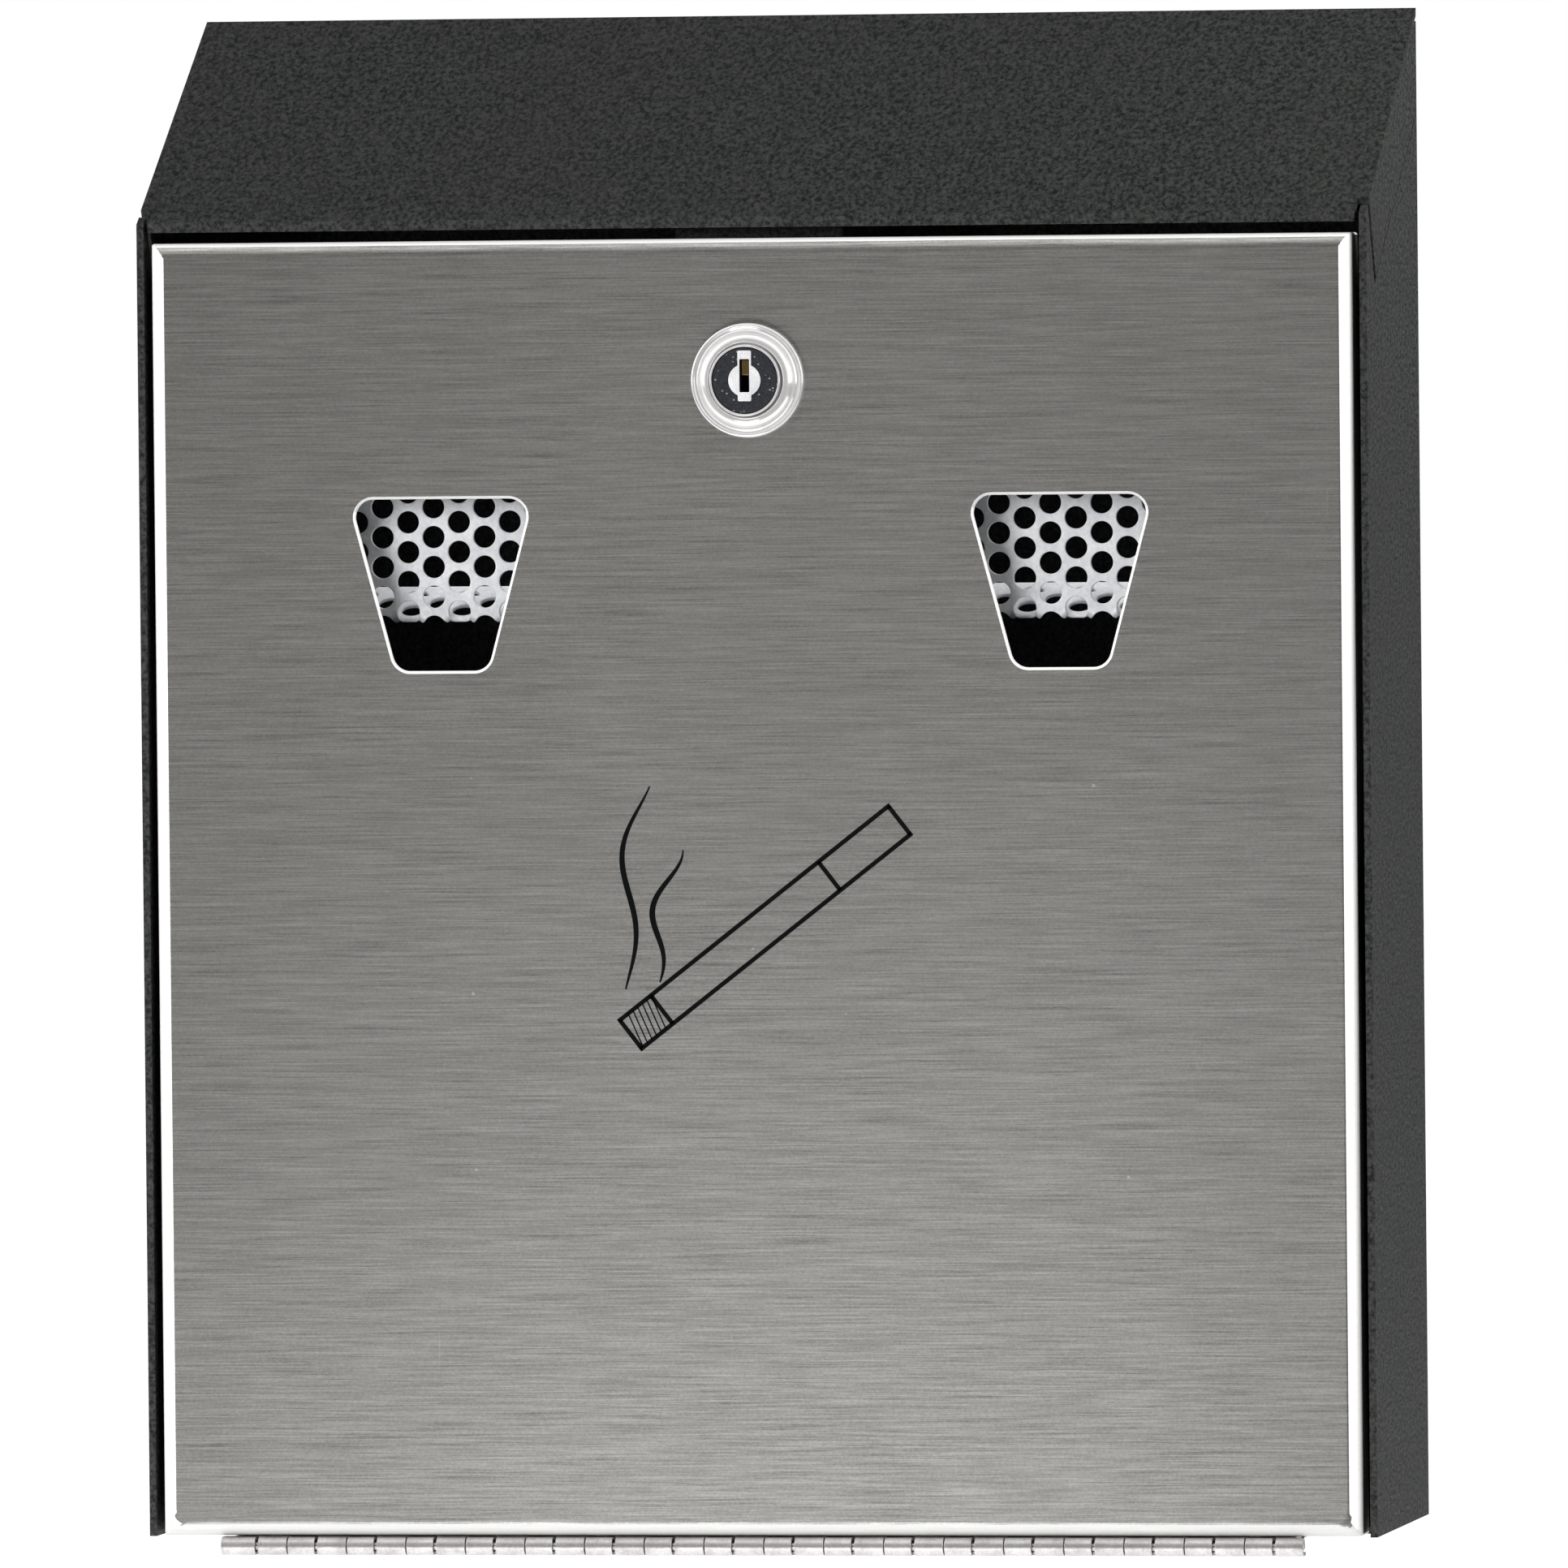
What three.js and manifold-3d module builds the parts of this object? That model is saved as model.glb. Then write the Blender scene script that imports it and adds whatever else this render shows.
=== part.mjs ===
// Wall-mounted ashtray bin: a sloped-top sheet-steel box with a drop-down stainless door,
// a cam lock, two stub apertures with perforated snuffer screens, and a lift-out ash liner.
// Millimetres, +Z up, front faces -Y, back rests on the wall at Y = 0, X = 0 in the middle.
import * as THREE from 'three';
import { mergeVertices } from 'three/addons/utils/BufferGeometryUtils.js';
import Module from 'manifold-3d';

const wasm = await Module();
wasm.setup();

// ---------------------------------------------------------------- driving dimensions

// Housing, folded from sheet. Z = 0 is its bottom edge.
const WIDTH = 263.5;
const DEPTH = 78.5;
const BACK_HEIGHT = 322.5;
const FRONT_HEIGHT = 279;
const SHEET = 1.5;
const GAP = 0.3;
const CURVE_SEGMENTS = 5;
const SLOPE = Math.atan2(BACK_HEIGHT - FRONT_HEIGHT, DEPTH);
const LIP_HEIGHT = 2.1;
const FLANGE_WIDTH = 19;
const FLANGE_START = 5.7;
const CORNER_SLIT = 2.6;
const SEAM = 0.4;
const NOSE_GAP = 1;
const REAR_FLANGE = 12;
const REAR_OVERLAP = 0.5;
const WALL_HOLE_RADIUS = 3.3;
const WALL_HOLE_SIDES = 16;
const WALL_HOLE_X = 95;
const WALL_HOLE_Z = [50, 265];
const FLOOR_FRONT_Y = -66;
const FLOOR_FLANGE = 12;

// Door, a shallow pan of thin stainless sheet; its face stands a little proud of the housing.
const DOOR_PROUD = 1.8;
const DOOR_SHEET = 0.9;
const DOOR_SIDE_GAP = 1.65;
const DOOR_BOTTOM = 0.2;
const DOOR_TOP = 274.6;
const DOOR_BEND = 3;
const DOOR_BEND_SEGMENTS = 4;
const DOOR_FLANGE = 12;
const FACE_Y = -DEPTH - DOOR_PROUD;
const DOOR_BACK_Y = FACE_Y + DOOR_SHEET;
const DOOR_RIM_Y = FACE_Y + DOOR_FLANGE;
const DOOR_HALF = WIDTH / 2 - SHEET - DOOR_SIDE_GAP;

// Stub apertures: an upside-down trapezoid with round corners, one each side of the middle.
const APERTURE_X = 66.3;
const APERTURE_TOP = 220;
const APERTURE_BOTTOM = 183.6;
const APERTURE_TOP_HALF = 19.5;
const APERTURE_BOTTOM_HALF = 9.8;
const APERTURE_CORNER = 3.8;

// Snuffer screens, folded from perforated sheet and hung on weld studs behind the apertures.
const SCREEN_SHEET = 1;
const SCREEN_HALF = 29;
const SCREEN_Y = DOOR_BACK_Y + 11.7;
const SCREEN_FOLD_Z = 193;
const SCREEN_TOP_Z = 227;
const SCREEN_TAB_TOP_Z = 241;
const SCREEN_FLANGE = 16;
const SCREEN_FLANGE_RISE = THREE.MathUtils.degToRad(27);
const HOLE_RADIUS = 2.38;
const HOLE_PITCH = 6.35;
const HOLE_SIDES = 6;
const HOLE_COLUMNS = 7;
const HOLE_MARGIN = 3.5;
const FLANGE_ROWS = 2;
const FLANGE_FIRST_ROW = 4.5;
const FIRST_COLUMN = -15;
const FIRST_ROW_Z = 217.2;
const STUD_RADIUS = 1.5;
const STUD_Z = 234.5;
const STUD_X = 20;
const STUD_LENGTH = 8;
const STUD_SIDES = 8;
const NUT_ACROSS = 5.5;
const NUT_HEIGHT = 2.4;

// Cam lock, on the middle line near the top of the door. Depths are measured back from the face.
const LOCK_Z = 244.6;
const LOCK_RING = [
  [7.3, -GAP], [7.3, -4.4], [7.8, -4.4], [7.9, -3.4], [8.6, -3.2], [9.5, -2.7], [10.3, -1.7],
  [10.7, -1.2], [11.3, -1.5], [12.1, -1.1], [12.1, -GAP],
];
const LOCK_RING_SIDES = 24;
const LOCK_SIDES = 20;
const LOCK_BODY_RADIUS = 9.2;
const LOCK_BODY_LENGTH = 17;
const LOCK_HOLE_RADIUS = 9.6;
const WASHER_RADIUS = 13.5;
const WASHER_SHEET = 1;
const LOCK_NUT_ACROSS = 25;
const LOCK_NUT_HEIGHT = 4;
const PLUG_RADIUS = 7;
const PLUG_CLEARANCE = 0.3;
const PLUG_FACE = -4.1;
const KEYHOLE_RADIUS = 3.45;
const KEYHOLE_TAB_HALF = 1.45;
const KEYHOLE_TABS_Z = [-4.4, 6.3];
const KEY_SLOT_HALF = 1.05;
const KEY_SLOT_Z = [-2.5, 4.5];
const KEY_SLOT_DEPTH = 9;
const INSERT_SHEET = 0.8;
const INSERT_PROUD = 0.1;
const WAFER_DEPTH = 2.4;
const WAFER_SHEET = 0.8;
const WAFER_BOTTOM = 1.1;
const TAIL_HALF = 3;
const CAM_LENGTH = 29;
const CAM_HALF_WIDTH = 7.5;
const CAM_CORNER = 6;
const CAM_SHEET = 2;
const CAM_DEPTH = LOCK_BODY_LENGTH + GAP + 0.2;
const CAM_SCREW_RADIUS = 1.7;
const CAM_SCREW_HEAD = [4, 3];
const CAM_SCREW_LENGTH = 6;
const SCREW_SIDES = 8;
const KEEPER_HALF = 18;
const KEEPER_BOTTOM_Z = 260;
const KEEPER_CLEARANCE = 0.5;
const KEEPER_LEG = 16;

// Continuous hinge under the door. Its first knuckle is a little longer than the others.
const HINGE_HALF = 116.2;
const FIRST_KNUCKLE = 8;
const KNUCKLE = 6.42;
const KNUCKLE_RADIUS = 1.95;
const BORE_RADIUS = 1.2;
const PIN_RADIUS = 0.85;
const KNUCKLE_SIDES = 10;
const PIN_SIDES = 8;
const KNUCKLE_CLEARANCE = 0.5;
const LEAF = 0.8;
const AXIS_Y = FACE_Y + 1.9;
const AXIS_Z = -2.05;
const LEAF_INSET = 0.05;
const DOOR_LEAF_END_Y = DOOR_RIM_Y + 0.9;
const BODY_LEAF_STEP_Y = -66.5;
const BODY_LEAF_STEP = 3;
const BODY_LEAF_END_Y = -45;
const RIVET_RADIUS = 1.6;
const RIVET_HEAD_RADIUS = 3;
const RIVET_HEAD = 1.1;
const RIVET_REACH = 9;
const RIVET_SIDES = 10;
const RIVET_XS = [-105, -35, 35, 105];
const DOOR_RIVET_Y = DOOR_RIM_Y - 4.5;
const BODY_RIVET_Y = -51.5;

// Ash liner, an open galvanised box with a flared front lip.
const LINER_HALF = 118;
const LINER_FRONT_Y = -64.5;
const LINER_BACK_Y = -6;
const LINER_BOTTOM = SHEET + RIVET_HEAD + 2 * GAP;
const LINER_TOP = 166;
const LINER_SHEET = 0.8;
const LINER_LIP = 9;

// ---------------------------------------------------------------- materials

const finish = (color, roughness, metalness) => ({ color, roughness, metalness });
const POWDER_COAT = finish(0x2e302e, 0.6, 0.1);
const BRUSHED = finish(0x8c8a86, 0.35, 1);
const BRIGHT_STEEL = finish(0xd8dade, 0.3, 1);
const GALVANISED = finish(0xa9adb0, 0.5, 0.9);
const CHROME = finish(0xe6e4e2, 0.08, 1);
const ZINC = finish(0xb9b6ae, 0.4, 0.9);
const DARK_ZINC = finish(0x3a3d42, 0.45, 0.7);
const BRASS = finish(0xb08d4c, 0.3, 1);

// ---------------------------------------------------------------- solid helpers

// A closed three.js geometry as a manifold solid.
function solid(geometry) {
  const bare = new THREE.BufferGeometry();
  bare.setAttribute('position', geometry.getAttribute('position'));
  bare.setIndex(geometry.getIndex());
  const merged = mergeVertices(bare, 1e-4);
  return new wasm.Manifold(new wasm.Mesh({
    numProp: 3,
    vertProperties: new Float32Array(merged.getAttribute('position').array),
    triVerts: new Uint32Array(merged.getIndex().array),
  }));
}

function box(x0, x1, y0, y1, z0, z1) {
  const geometry = new THREE.BoxGeometry(x1 - x0, y1 - y0, z1 - z0);
  geometry.translate((x0 + x1) / 2, (y0 + y1) / 2, (z0 + z1) / 2);
  return solid(geometry);
}

function extrude(shape, depth, basis, origin) {
  const settings = { depth, bevelEnabled: false, curveSegments: CURVE_SEGMENTS };
  const geometry = new THREE.ExtrudeGeometry(shape, settings);
  geometry.applyMatrix4(new THREE.Matrix4().makeBasis(...basis));
  geometry.translate(...origin);
  return solid(geometry);
}

const X = new THREE.Vector3(1, 0, 0);
const Y = new THREE.Vector3(0, 1, 0);
const Z = new THREE.Vector3(0, 0, 1);

// A (y, z) outline swept along X from x0 to x1.
function alongX(points, x0, x1) {
  const shape = new THREE.Shape(points.map(([y, z]) => new THREE.Vector2(y, z)));
  return extrude(shape, x1 - x0, [Y, Z, X], [x0, 0, 0]);
}

// An (x, z) outline swept along Y from y0 to y1.
function alongY(shape, y0, y1) {
  return extrude(shape, y1 - y0, [X, Z, Y.clone().negate()], [0, y1, 0]);
}

function polygon(radius, sides, turn = 0) {
  const points = [];
  for (let i = 0; i < sides; i += 1) {
    const angle = turn + (2 * Math.PI * i) / sides;
    points.push(new THREE.Vector2(radius * Math.cos(angle), radius * Math.sin(angle)));
  }
  return points;
}

// A round or many-sided bar along Y, centred on (x, z).
function barY(radius, sides, x, z, y0, y1, turn = 0) {
  return alongY(new THREE.Shape(polygon(radius, sides, turn)), y0, y1).translate(x, 0, z);
}

function barX(radius, sides, y, z, x0, x1, turn = 0) {
  const outline = polygon(radius, sides, turn).map((point) => point.toArray());
  return alongX(outline, x0, x1).translate(0, y, z);
}

// A closed profile of (radius, height) points turned about Y, with heights running along +Y.
function turnedY(profile, sides, x, y, z) {
  const points = profile.map(([r, h]) => new THREE.Vector2(r, h));
  const geometry = new THREE.LatheGeometry(points, sides);
  geometry.translate(x, y, z);
  return solid(geometry);
}

// The same about Z, with heights running along +Z.
function turnedZ(profile, sides, x, y) {
  const points = profile.map(([r, h]) => new THREE.Vector2(r, h));
  const geometry = new THREE.LatheGeometry(points, sides);
  geometry.rotateX(Math.PI / 2);
  geometry.translate(x, y, 0);
  return solid(geometry);
}

// A ring along Y: a bar with a hole, both of them polygons.
function ringY(outer, outerSides, inner, innerSides, x, z, y0, y1) {
  const shape = new THREE.Shape(polygon(outer, outerSides));
  shape.holes.push(new THREE.Path(polygon(inner, innerSides)));
  return alongY(shape, y0, y1).translate(x, 0, z);
}

// A hexagon nut along Y, seated at y0.
function nutY(across, bore, boreSides, x, z, y0, height) {
  return ringY(across / Math.sqrt(3), 6, bore, boreSides, x, z, y0, y0 + height);
}

// A polygon with every corner rounded by the same radius, given counter-clockwise.
function rounded(corners, radius) {
  const shape = new THREE.Shape();
  const count = corners.length;
  corners.forEach((corner, i) => {
    const before = corners[(i + count - 1) % count].clone().sub(corner).normalize();
    const after = corners[(i + 1) % count].clone().sub(corner).normalize();
    const halfAngle = Math.acos(before.dot(after)) / 2;
    const centre = before.clone().add(after).normalize();
    centre.multiplyScalar(radius / Math.sin(halfAngle)).add(corner);
    const start = before.multiplyScalar(radius / Math.tan(halfAngle)).add(corner).sub(centre);
    const end = after.multiplyScalar(radius / Math.tan(halfAngle)).add(corner).sub(centre);
    shape.absarc(centre.x, centre.y, radius, start.angle(), end.angle(), false);
  });
  return shape;
}

function union(...solids) {
  return solids.reduce((whole, next) => whole.add(next));
}

const group = new THREE.Group();
const housing = new THREE.Group();
housing.position.z = -BACK_HEIGHT / 2;
group.add(housing);

// A finished sub-part: a named mesh with a material of its own.
function part(name, look, shape) {
  const mesh = shape.getMesh();
  const geometry = new THREE.BufferGeometry();
  const corners = new Float32Array(mesh.vertProperties);
  geometry.setAttribute('position', new THREE.BufferAttribute(corners, 3));
  geometry.setIndex(new THREE.BufferAttribute(new Uint32Array(mesh.triVerts), 1));
  geometry.computeVertexNormals();
  const material = new THREE.MeshStandardMaterial({ ...look, flatShading: true });
  const result = new THREE.Mesh(geometry, material);
  result.name = name;
  housing.add(result);
}

// ---------------------------------------------------------------- housing

// A point by its distance along the top slope and its depth below the slope's outer face.
function onSlope(along, below) {
  return [
    -DEPTH + along * Math.cos(SLOPE) + below * Math.sin(SLOPE),
    FRONT_HEIGHT + along * Math.sin(SLOPE) - below * Math.cos(SLOPE),
  ];
}

// Height, at a given y, of the line that runs parallel to the slope at a depth below it.
function slopeHeight(y, below) {
  return FRONT_HEIGHT + (y + DEPTH) * Math.tan(SLOPE) - below / Math.cos(SLOPE);
}

function bodyWrap() {
  const slitFront = FLANGE_START - CORNER_SLIT;
  const seamDepth = FLANGE_WIDTH + SEAM;
  const side = [
    [0, 0],
    [-DEPTH, 0],
    [-DEPTH, slopeHeight(-DEPTH, GAP)],
    onSlope(slitFront, GAP),
    onSlope(slitFront, seamDepth),
    [0, slopeHeight(0, seamDepth)],
  ].reverse();
  const backTop = slopeHeight(-SHEET, SHEET) - GAP;
  const half = WIDTH / 2;
  let wrap = union(
    box(-half, half, -SHEET, 0, 0, backTop),
    alongX(side, -half, -half + SHEET),
    alongX(side, half - SHEET, half),
  );
  for (const x of [-WALL_HOLE_X, WALL_HOLE_X]) {
    for (const z of WALL_HOLE_Z) {
      wrap = wrap.subtract(barY(WALL_HOLE_RADIUS, WALL_HOLE_SIDES, x, z, -SHEET - 1, 1));
    }
  }
  part('body_wrap', POWDER_COAT, wrap);
}

function topPanel() {
  const half = WIDTH / 2;
  const innerHalf = half - SHEET - NOSE_GAP;
  const underside = (y) => slopeHeight(y, SHEET);
  const [flangeStartY] = onSlope(FLANGE_START, 0);
  const noseBackY = flangeStartY + 1;
  const main = [
    onSlope(FLANGE_START, 0),
    [0, slopeHeight(0, 0)],
    [0, underside(0)],
    onSlope(FLANGE_START, SHEET),
  ].reverse();
  const nose = [
    [-DEPTH, FRONT_HEIGHT],
    [noseBackY, slopeHeight(noseBackY, 0)],
    [noseBackY, underside(noseBackY)],
    [-DEPTH + SHEET, underside(-DEPTH + SHEET)],
    [-DEPTH + SHEET, FRONT_HEIGHT - LIP_HEIGHT],
    [-DEPTH, FRONT_HEIGHT - LIP_HEIGHT],
  ].reverse();
  const flangeBackY = -SHEET - GAP;
  const flange = [
    onSlope(FLANGE_START, 0),
    [flangeBackY, slopeHeight(flangeBackY, 0)],
    [flangeBackY, slopeHeight(flangeBackY, FLANGE_WIDTH)],
    onSlope(FLANGE_START, FLANGE_WIDTH),
  ].reverse();
  const rearTop = underside(flangeBackY - SHEET) + REAR_OVERLAP;
  part('top_panel', POWDER_COAT, union(
    alongX(main, -half, half),
    alongX(nose, -innerHalf, innerHalf),
    alongX(flange, -half, -half + SHEET),
    alongX(flange, half - SHEET, half),
    box(-innerHalf, innerHalf, flangeBackY - SHEET, flangeBackY, rearTop - REAR_FLANGE, rearTop),
  ));
}

function bottomPanel() {
  const half = WIDTH / 2 - SHEET - GAP;
  const backY = -SHEET - GAP;
  const panel = union(
    box(-half, half, FLOOR_FRONT_Y, backY, 0, SHEET),
    box(-half, -half + SHEET, FLOOR_FRONT_Y, backY, 0, FLOOR_FLANGE),
    box(half - SHEET, half, FLOOR_FRONT_Y, backY, 0, FLOOR_FLANGE),
    box(-half, half, backY - SHEET, backY, 0, FLOOR_FLANGE),
  );
  part('bottom_panel', POWDER_COAT, withRivetHoles(panel, BODY_RIVET_Y));
}

// Angle welded under the top, which the cam turns up behind.
function lockKeeper() {
  const backY = FACE_Y + CAM_DEPTH - KEEPER_CLEARANCE;
  const frontY = backY - SHEET;
  const legY = frontY + KEEPER_LEG;
  const below = SHEET + GAP;
  part('lock_keeper', POWDER_COAT, alongX([
    [frontY, KEEPER_BOTTOM_Z],
    [backY, KEEPER_BOTTOM_Z],
    [backY, slopeHeight(backY, below + SHEET)],
    [legY, slopeHeight(legY, below + SHEET)],
    [legY, slopeHeight(legY, below)],
    [frontY, slopeHeight(frontY, below)],
  ], -KEEPER_HALF, KEEPER_HALF));
}

// ---------------------------------------------------------------- hinge

// The stretches of the barrel that belong to one leaf, as [x0, x1] pairs; the leaves take turns.
function knuckles(owner) {
  const stretches = [];
  let x0 = -HINGE_HALF;
  let x1 = x0 + FIRST_KNUCKLE;
  for (let turn = 0; x0 < HINGE_HALF; turn += 1) {
    if (turn % 2 === owner) {
      stretches.push([x0, Math.min(x1, HINGE_HALF)]);
    }
    x0 = x1;
    x1 += KNUCKLE;
  }
  return stretches;
}

// Barrel and leaf in one piece, with the other leaf's knuckles and the rivet holes cut out.
function hingeLeaf(leafProfile, otherOwner, rivetY) {
  const reach = KNUCKLE_RADIUS + KNUCKLE_CLEARANCE;
  const turn = Math.PI / KNUCKLE_SIDES;
  const half = HINGE_HALF;
  const barrel = barX(KNUCKLE_RADIUS, KNUCKLE_SIDES, AXIS_Y, AXIS_Z, -half, half, turn);
  const bore = barX(BORE_RADIUS, PIN_SIDES, AXIS_Y, AXIS_Z, -half - 1, half + 1);
  let leaf = barrel.add(alongX(leafProfile, -half, half)).subtract(bore);
  for (const [x0, x1] of knuckles(otherOwner)) {
    leaf = leaf.subtract(box(
      x0 - GAP / 2, x1 + GAP / 2,
      AXIS_Y - reach, AXIS_Y + reach,
      AXIS_Z - reach, AXIS_Z + reach,
    ));
  }
  return withRivetHoles(leaf, rivetY);
}

function hinge() {
  const top = AXIS_Z + KNUCKLE_RADIUS - LEAF_INSET;
  const bottom = AXIS_Z - KNUCKLE_RADIUS + LEAF_INSET;
  const stepEndY = BODY_LEAF_STEP_Y + BODY_LEAF_STEP;
  const doorLeaf = [
    [AXIS_Y, top - LEAF],
    [DOOR_LEAF_END_Y, top - LEAF],
    [DOOR_LEAF_END_Y, top],
    [AXIS_Y, top],
  ];
  const bodyLeaf = [
    [AXIS_Y, bottom],
    [BODY_LEAF_STEP_Y, bottom],
    [stepEndY, -GAP - LEAF],
    [BODY_LEAF_END_Y, -GAP - LEAF],
    [BODY_LEAF_END_Y, -GAP],
    [stepEndY - LEAF / 2, -GAP],
    [BODY_LEAF_STEP_Y - LEAF / 2, bottom + LEAF],
    [AXIS_Y, bottom + LEAF],
  ];
  part('hinge_door_leaf', BRIGHT_STEEL, hingeLeaf(doorLeaf, 1, DOOR_RIVET_Y));
  part('hinge_body_leaf', BRIGHT_STEEL, hingeLeaf(bodyLeaf, 0, BODY_RIVET_Y));
  const pin = barX(PIN_RADIUS, PIN_SIDES, AXIS_Y, AXIS_Z, -HINGE_HALF, HINGE_HALF);
  part('hinge_pin', BRIGHT_STEEL, pin);
  RIVET_XS.forEach((x, i) => {
    rivet(`door_rivet_${i + 1}`, x, DOOR_RIVET_Y, top - LEAF, DOOR_BOTTOM + DOOR_SHEET);
    rivet(`body_rivet_${i + 1}`, x, BODY_RIVET_Y, -GAP - LEAF, SHEET);
  });
}

// The sheet with a row of vertical clearance holes for the rivets.
function withRivetHoles(sheet, y) {
  const radius = RIVET_RADIUS + GAP;
  const bar = [[0, -RIVET_REACH], [radius, -RIVET_REACH], [radius, RIVET_REACH], [0, RIVET_REACH]];
  return RIVET_XS.reduce((rest, x) => rest.subtract(turnedZ(bar, RIVET_SIDES, x, y)), sheet);
}

// A rivet that holds the sheets between lowZ and highZ, with a flat-topped head on each side.
function rivet(name, x, y, lowZ, highZ) {
  const crown = RIVET_HEAD_RADIUS * 0.6;
  const rimHeight = RIVET_HEAD * 0.4;
  const headLow = lowZ - GAP;
  const headHigh = highZ + GAP;
  part(name, ZINC, turnedZ([
    [0, headLow - RIVET_HEAD],
    [crown, headLow - RIVET_HEAD],
    [RIVET_HEAD_RADIUS, headLow - rimHeight],
    [RIVET_HEAD_RADIUS, headLow],
    [RIVET_RADIUS, headLow],
    [RIVET_RADIUS, headHigh],
    [RIVET_HEAD_RADIUS, headHigh],
    [RIVET_HEAD_RADIUS, headHigh + rimHeight],
    [crown, headHigh + RIVET_HEAD],
    [0, headHigh + RIVET_HEAD],
  ], RIVET_SIDES, x, y));
}

// ---------------------------------------------------------------- door

// A block the size of the door whose front edges are rounded by the bend radius less an inset.
function doorBlock(inset) {
  const low = DOOR_BOTTOM + DOOR_BEND;
  const high = DOOR_TOP - DOOR_BEND;
  const half = DOOR_HALF - DOOR_BEND;
  const radius = DOOR_BEND - inset;
  const depth = DOOR_FLANGE + DOOR_BEND;
  const shape = new THREE.Shape([
    new THREE.Vector2(-half, low),
    new THREE.Vector2(half, low),
    new THREE.Vector2(half, high),
    new THREE.Vector2(-half, high),
  ]);
  const geometry = new THREE.ExtrudeGeometry(shape, {
    depth,
    bevelEnabled: true,
    bevelThickness: radius,
    bevelSize: radius,
    bevelSegments: DOOR_BEND_SEGMENTS,
  });
  geometry.applyMatrix4(new THREE.Matrix4().makeBasis(X, Z, Y.clone().negate()));
  geometry.translate(0, FACE_Y + DOOR_BEND + depth, 0);
  return solid(geometry);
}

function apertureShape(x) {
  return rounded([
    new THREE.Vector2(x - APERTURE_BOTTOM_HALF, APERTURE_BOTTOM),
    new THREE.Vector2(x + APERTURE_BOTTOM_HALF, APERTURE_BOTTOM),
    new THREE.Vector2(x + APERTURE_TOP_HALF, APERTURE_TOP),
    new THREE.Vector2(x - APERTURE_TOP_HALF, APERTURE_TOP),
  ], APERTURE_CORNER);
}

function doorPanel() {
  const rim = box(-WIDTH, WIDTH, FACE_Y - 1, DOOR_RIM_Y, DOOR_BOTTOM - 1, DOOR_TOP + 1);
  let pan = doorBlock(0).intersect(rim).subtract(doorBlock(DOOR_SHEET));
  for (const x of [-APERTURE_X, APERTURE_X]) {
    pan = pan.subtract(alongY(apertureShape(x), FACE_Y - 1, DOOR_BACK_Y + 1));
  }
  pan = pan.subtract(barY(LOCK_HOLE_RADIUS, LOCK_RING_SIDES, 0, LOCK_Z, FACE_Y - 1, DOOR_BACK_Y + 1));
  part('door_panel', BRUSHED, withRivetHoles(pan, DOOR_RIVET_Y));
}

// One screen: tab on the door, shelf, perforated face and a flange folded back and up.
function snufferScreen(name, x) {
  const tabY = DOOR_BACK_Y + GAP;
  const tabBackY = tabY + SCREEN_SHEET;
  const backY = SCREEN_Y + SCREEN_SHEET;
  const x0 = x - SCREEN_HALF;
  const x1 = x + SCREEN_HALF;
  const run = SCREEN_FLANGE * Math.cos(SCREEN_FLANGE_RISE);
  const climb = SCREEN_FLANGE * Math.sin(SCREEN_FLANGE_RISE);
  const rise = SCREEN_SHEET / Math.cos(SCREEN_FLANGE_RISE);
  let screen = alongX([
    [tabY, SCREEN_TOP_Z - SCREEN_SHEET],
    [SCREEN_Y, SCREEN_TOP_Z - SCREEN_SHEET],
    [SCREEN_Y, SCREEN_FOLD_Z],
    [SCREEN_Y + run, SCREEN_FOLD_Z + climb],
    [SCREEN_Y + run, SCREEN_FOLD_Z + climb + rise],
    [backY, SCREEN_FOLD_Z + rise + SCREEN_SHEET * Math.tan(SCREEN_FLANGE_RISE)],
    [backY, SCREEN_TOP_Z],
    [tabBackY, SCREEN_TOP_Z],
    [tabBackY, SCREEN_TAB_TOP_Z],
    [tabY, SCREEN_TAB_TOP_Z],
  ], x0, x1);
  for (let column = 0; column < HOLE_COLUMNS; column += 1) {
    const holeX = x + FIRST_COLUMN + column * HOLE_PITCH * Math.cos(Math.PI / 6);
    const stagger = (column % 2) / 2;
    const topRow = FIRST_ROW_Z + stagger * HOLE_PITCH;
    for (let z = topRow; z > SCREEN_FOLD_Z + HOLE_MARGIN; z -= HOLE_PITCH) {
      if (z < SCREEN_TOP_Z - HOLE_MARGIN) {
        screen = screen.subtract(barY(HOLE_RADIUS, HOLE_SIDES, holeX, z, SCREEN_Y - 1, backY + 1));
      }
    }
    for (let row = 0; row < FLANGE_ROWS; row += 1) {
      const along = FLANGE_FIRST_ROW + (row + stagger) * HOLE_PITCH;
      const hole = barY(HOLE_RADIUS, HOLE_SIDES, 0, 0, -HOLE_RADIUS, HOLE_RADIUS);
      const tilted = hole.rotate([90 + THREE.MathUtils.radToDeg(SCREEN_FLANGE_RISE), 0, 0]);
      screen = screen.subtract(tilted.translate(
        holeX,
        SCREEN_Y + along * Math.cos(SCREEN_FLANGE_RISE),
        SCREEN_FOLD_Z + along * Math.sin(SCREEN_FLANGE_RISE),
      ));
    }
  }
  for (const studX of [x - STUD_X, x + STUD_X]) {
    const hole = barY(STUD_RADIUS + GAP, STUD_SIDES, studX, STUD_Z, tabY - 1, tabBackY + 1);
    screen = screen.subtract(hole);
  }
  part(name, BRIGHT_STEEL, screen);
}

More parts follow.
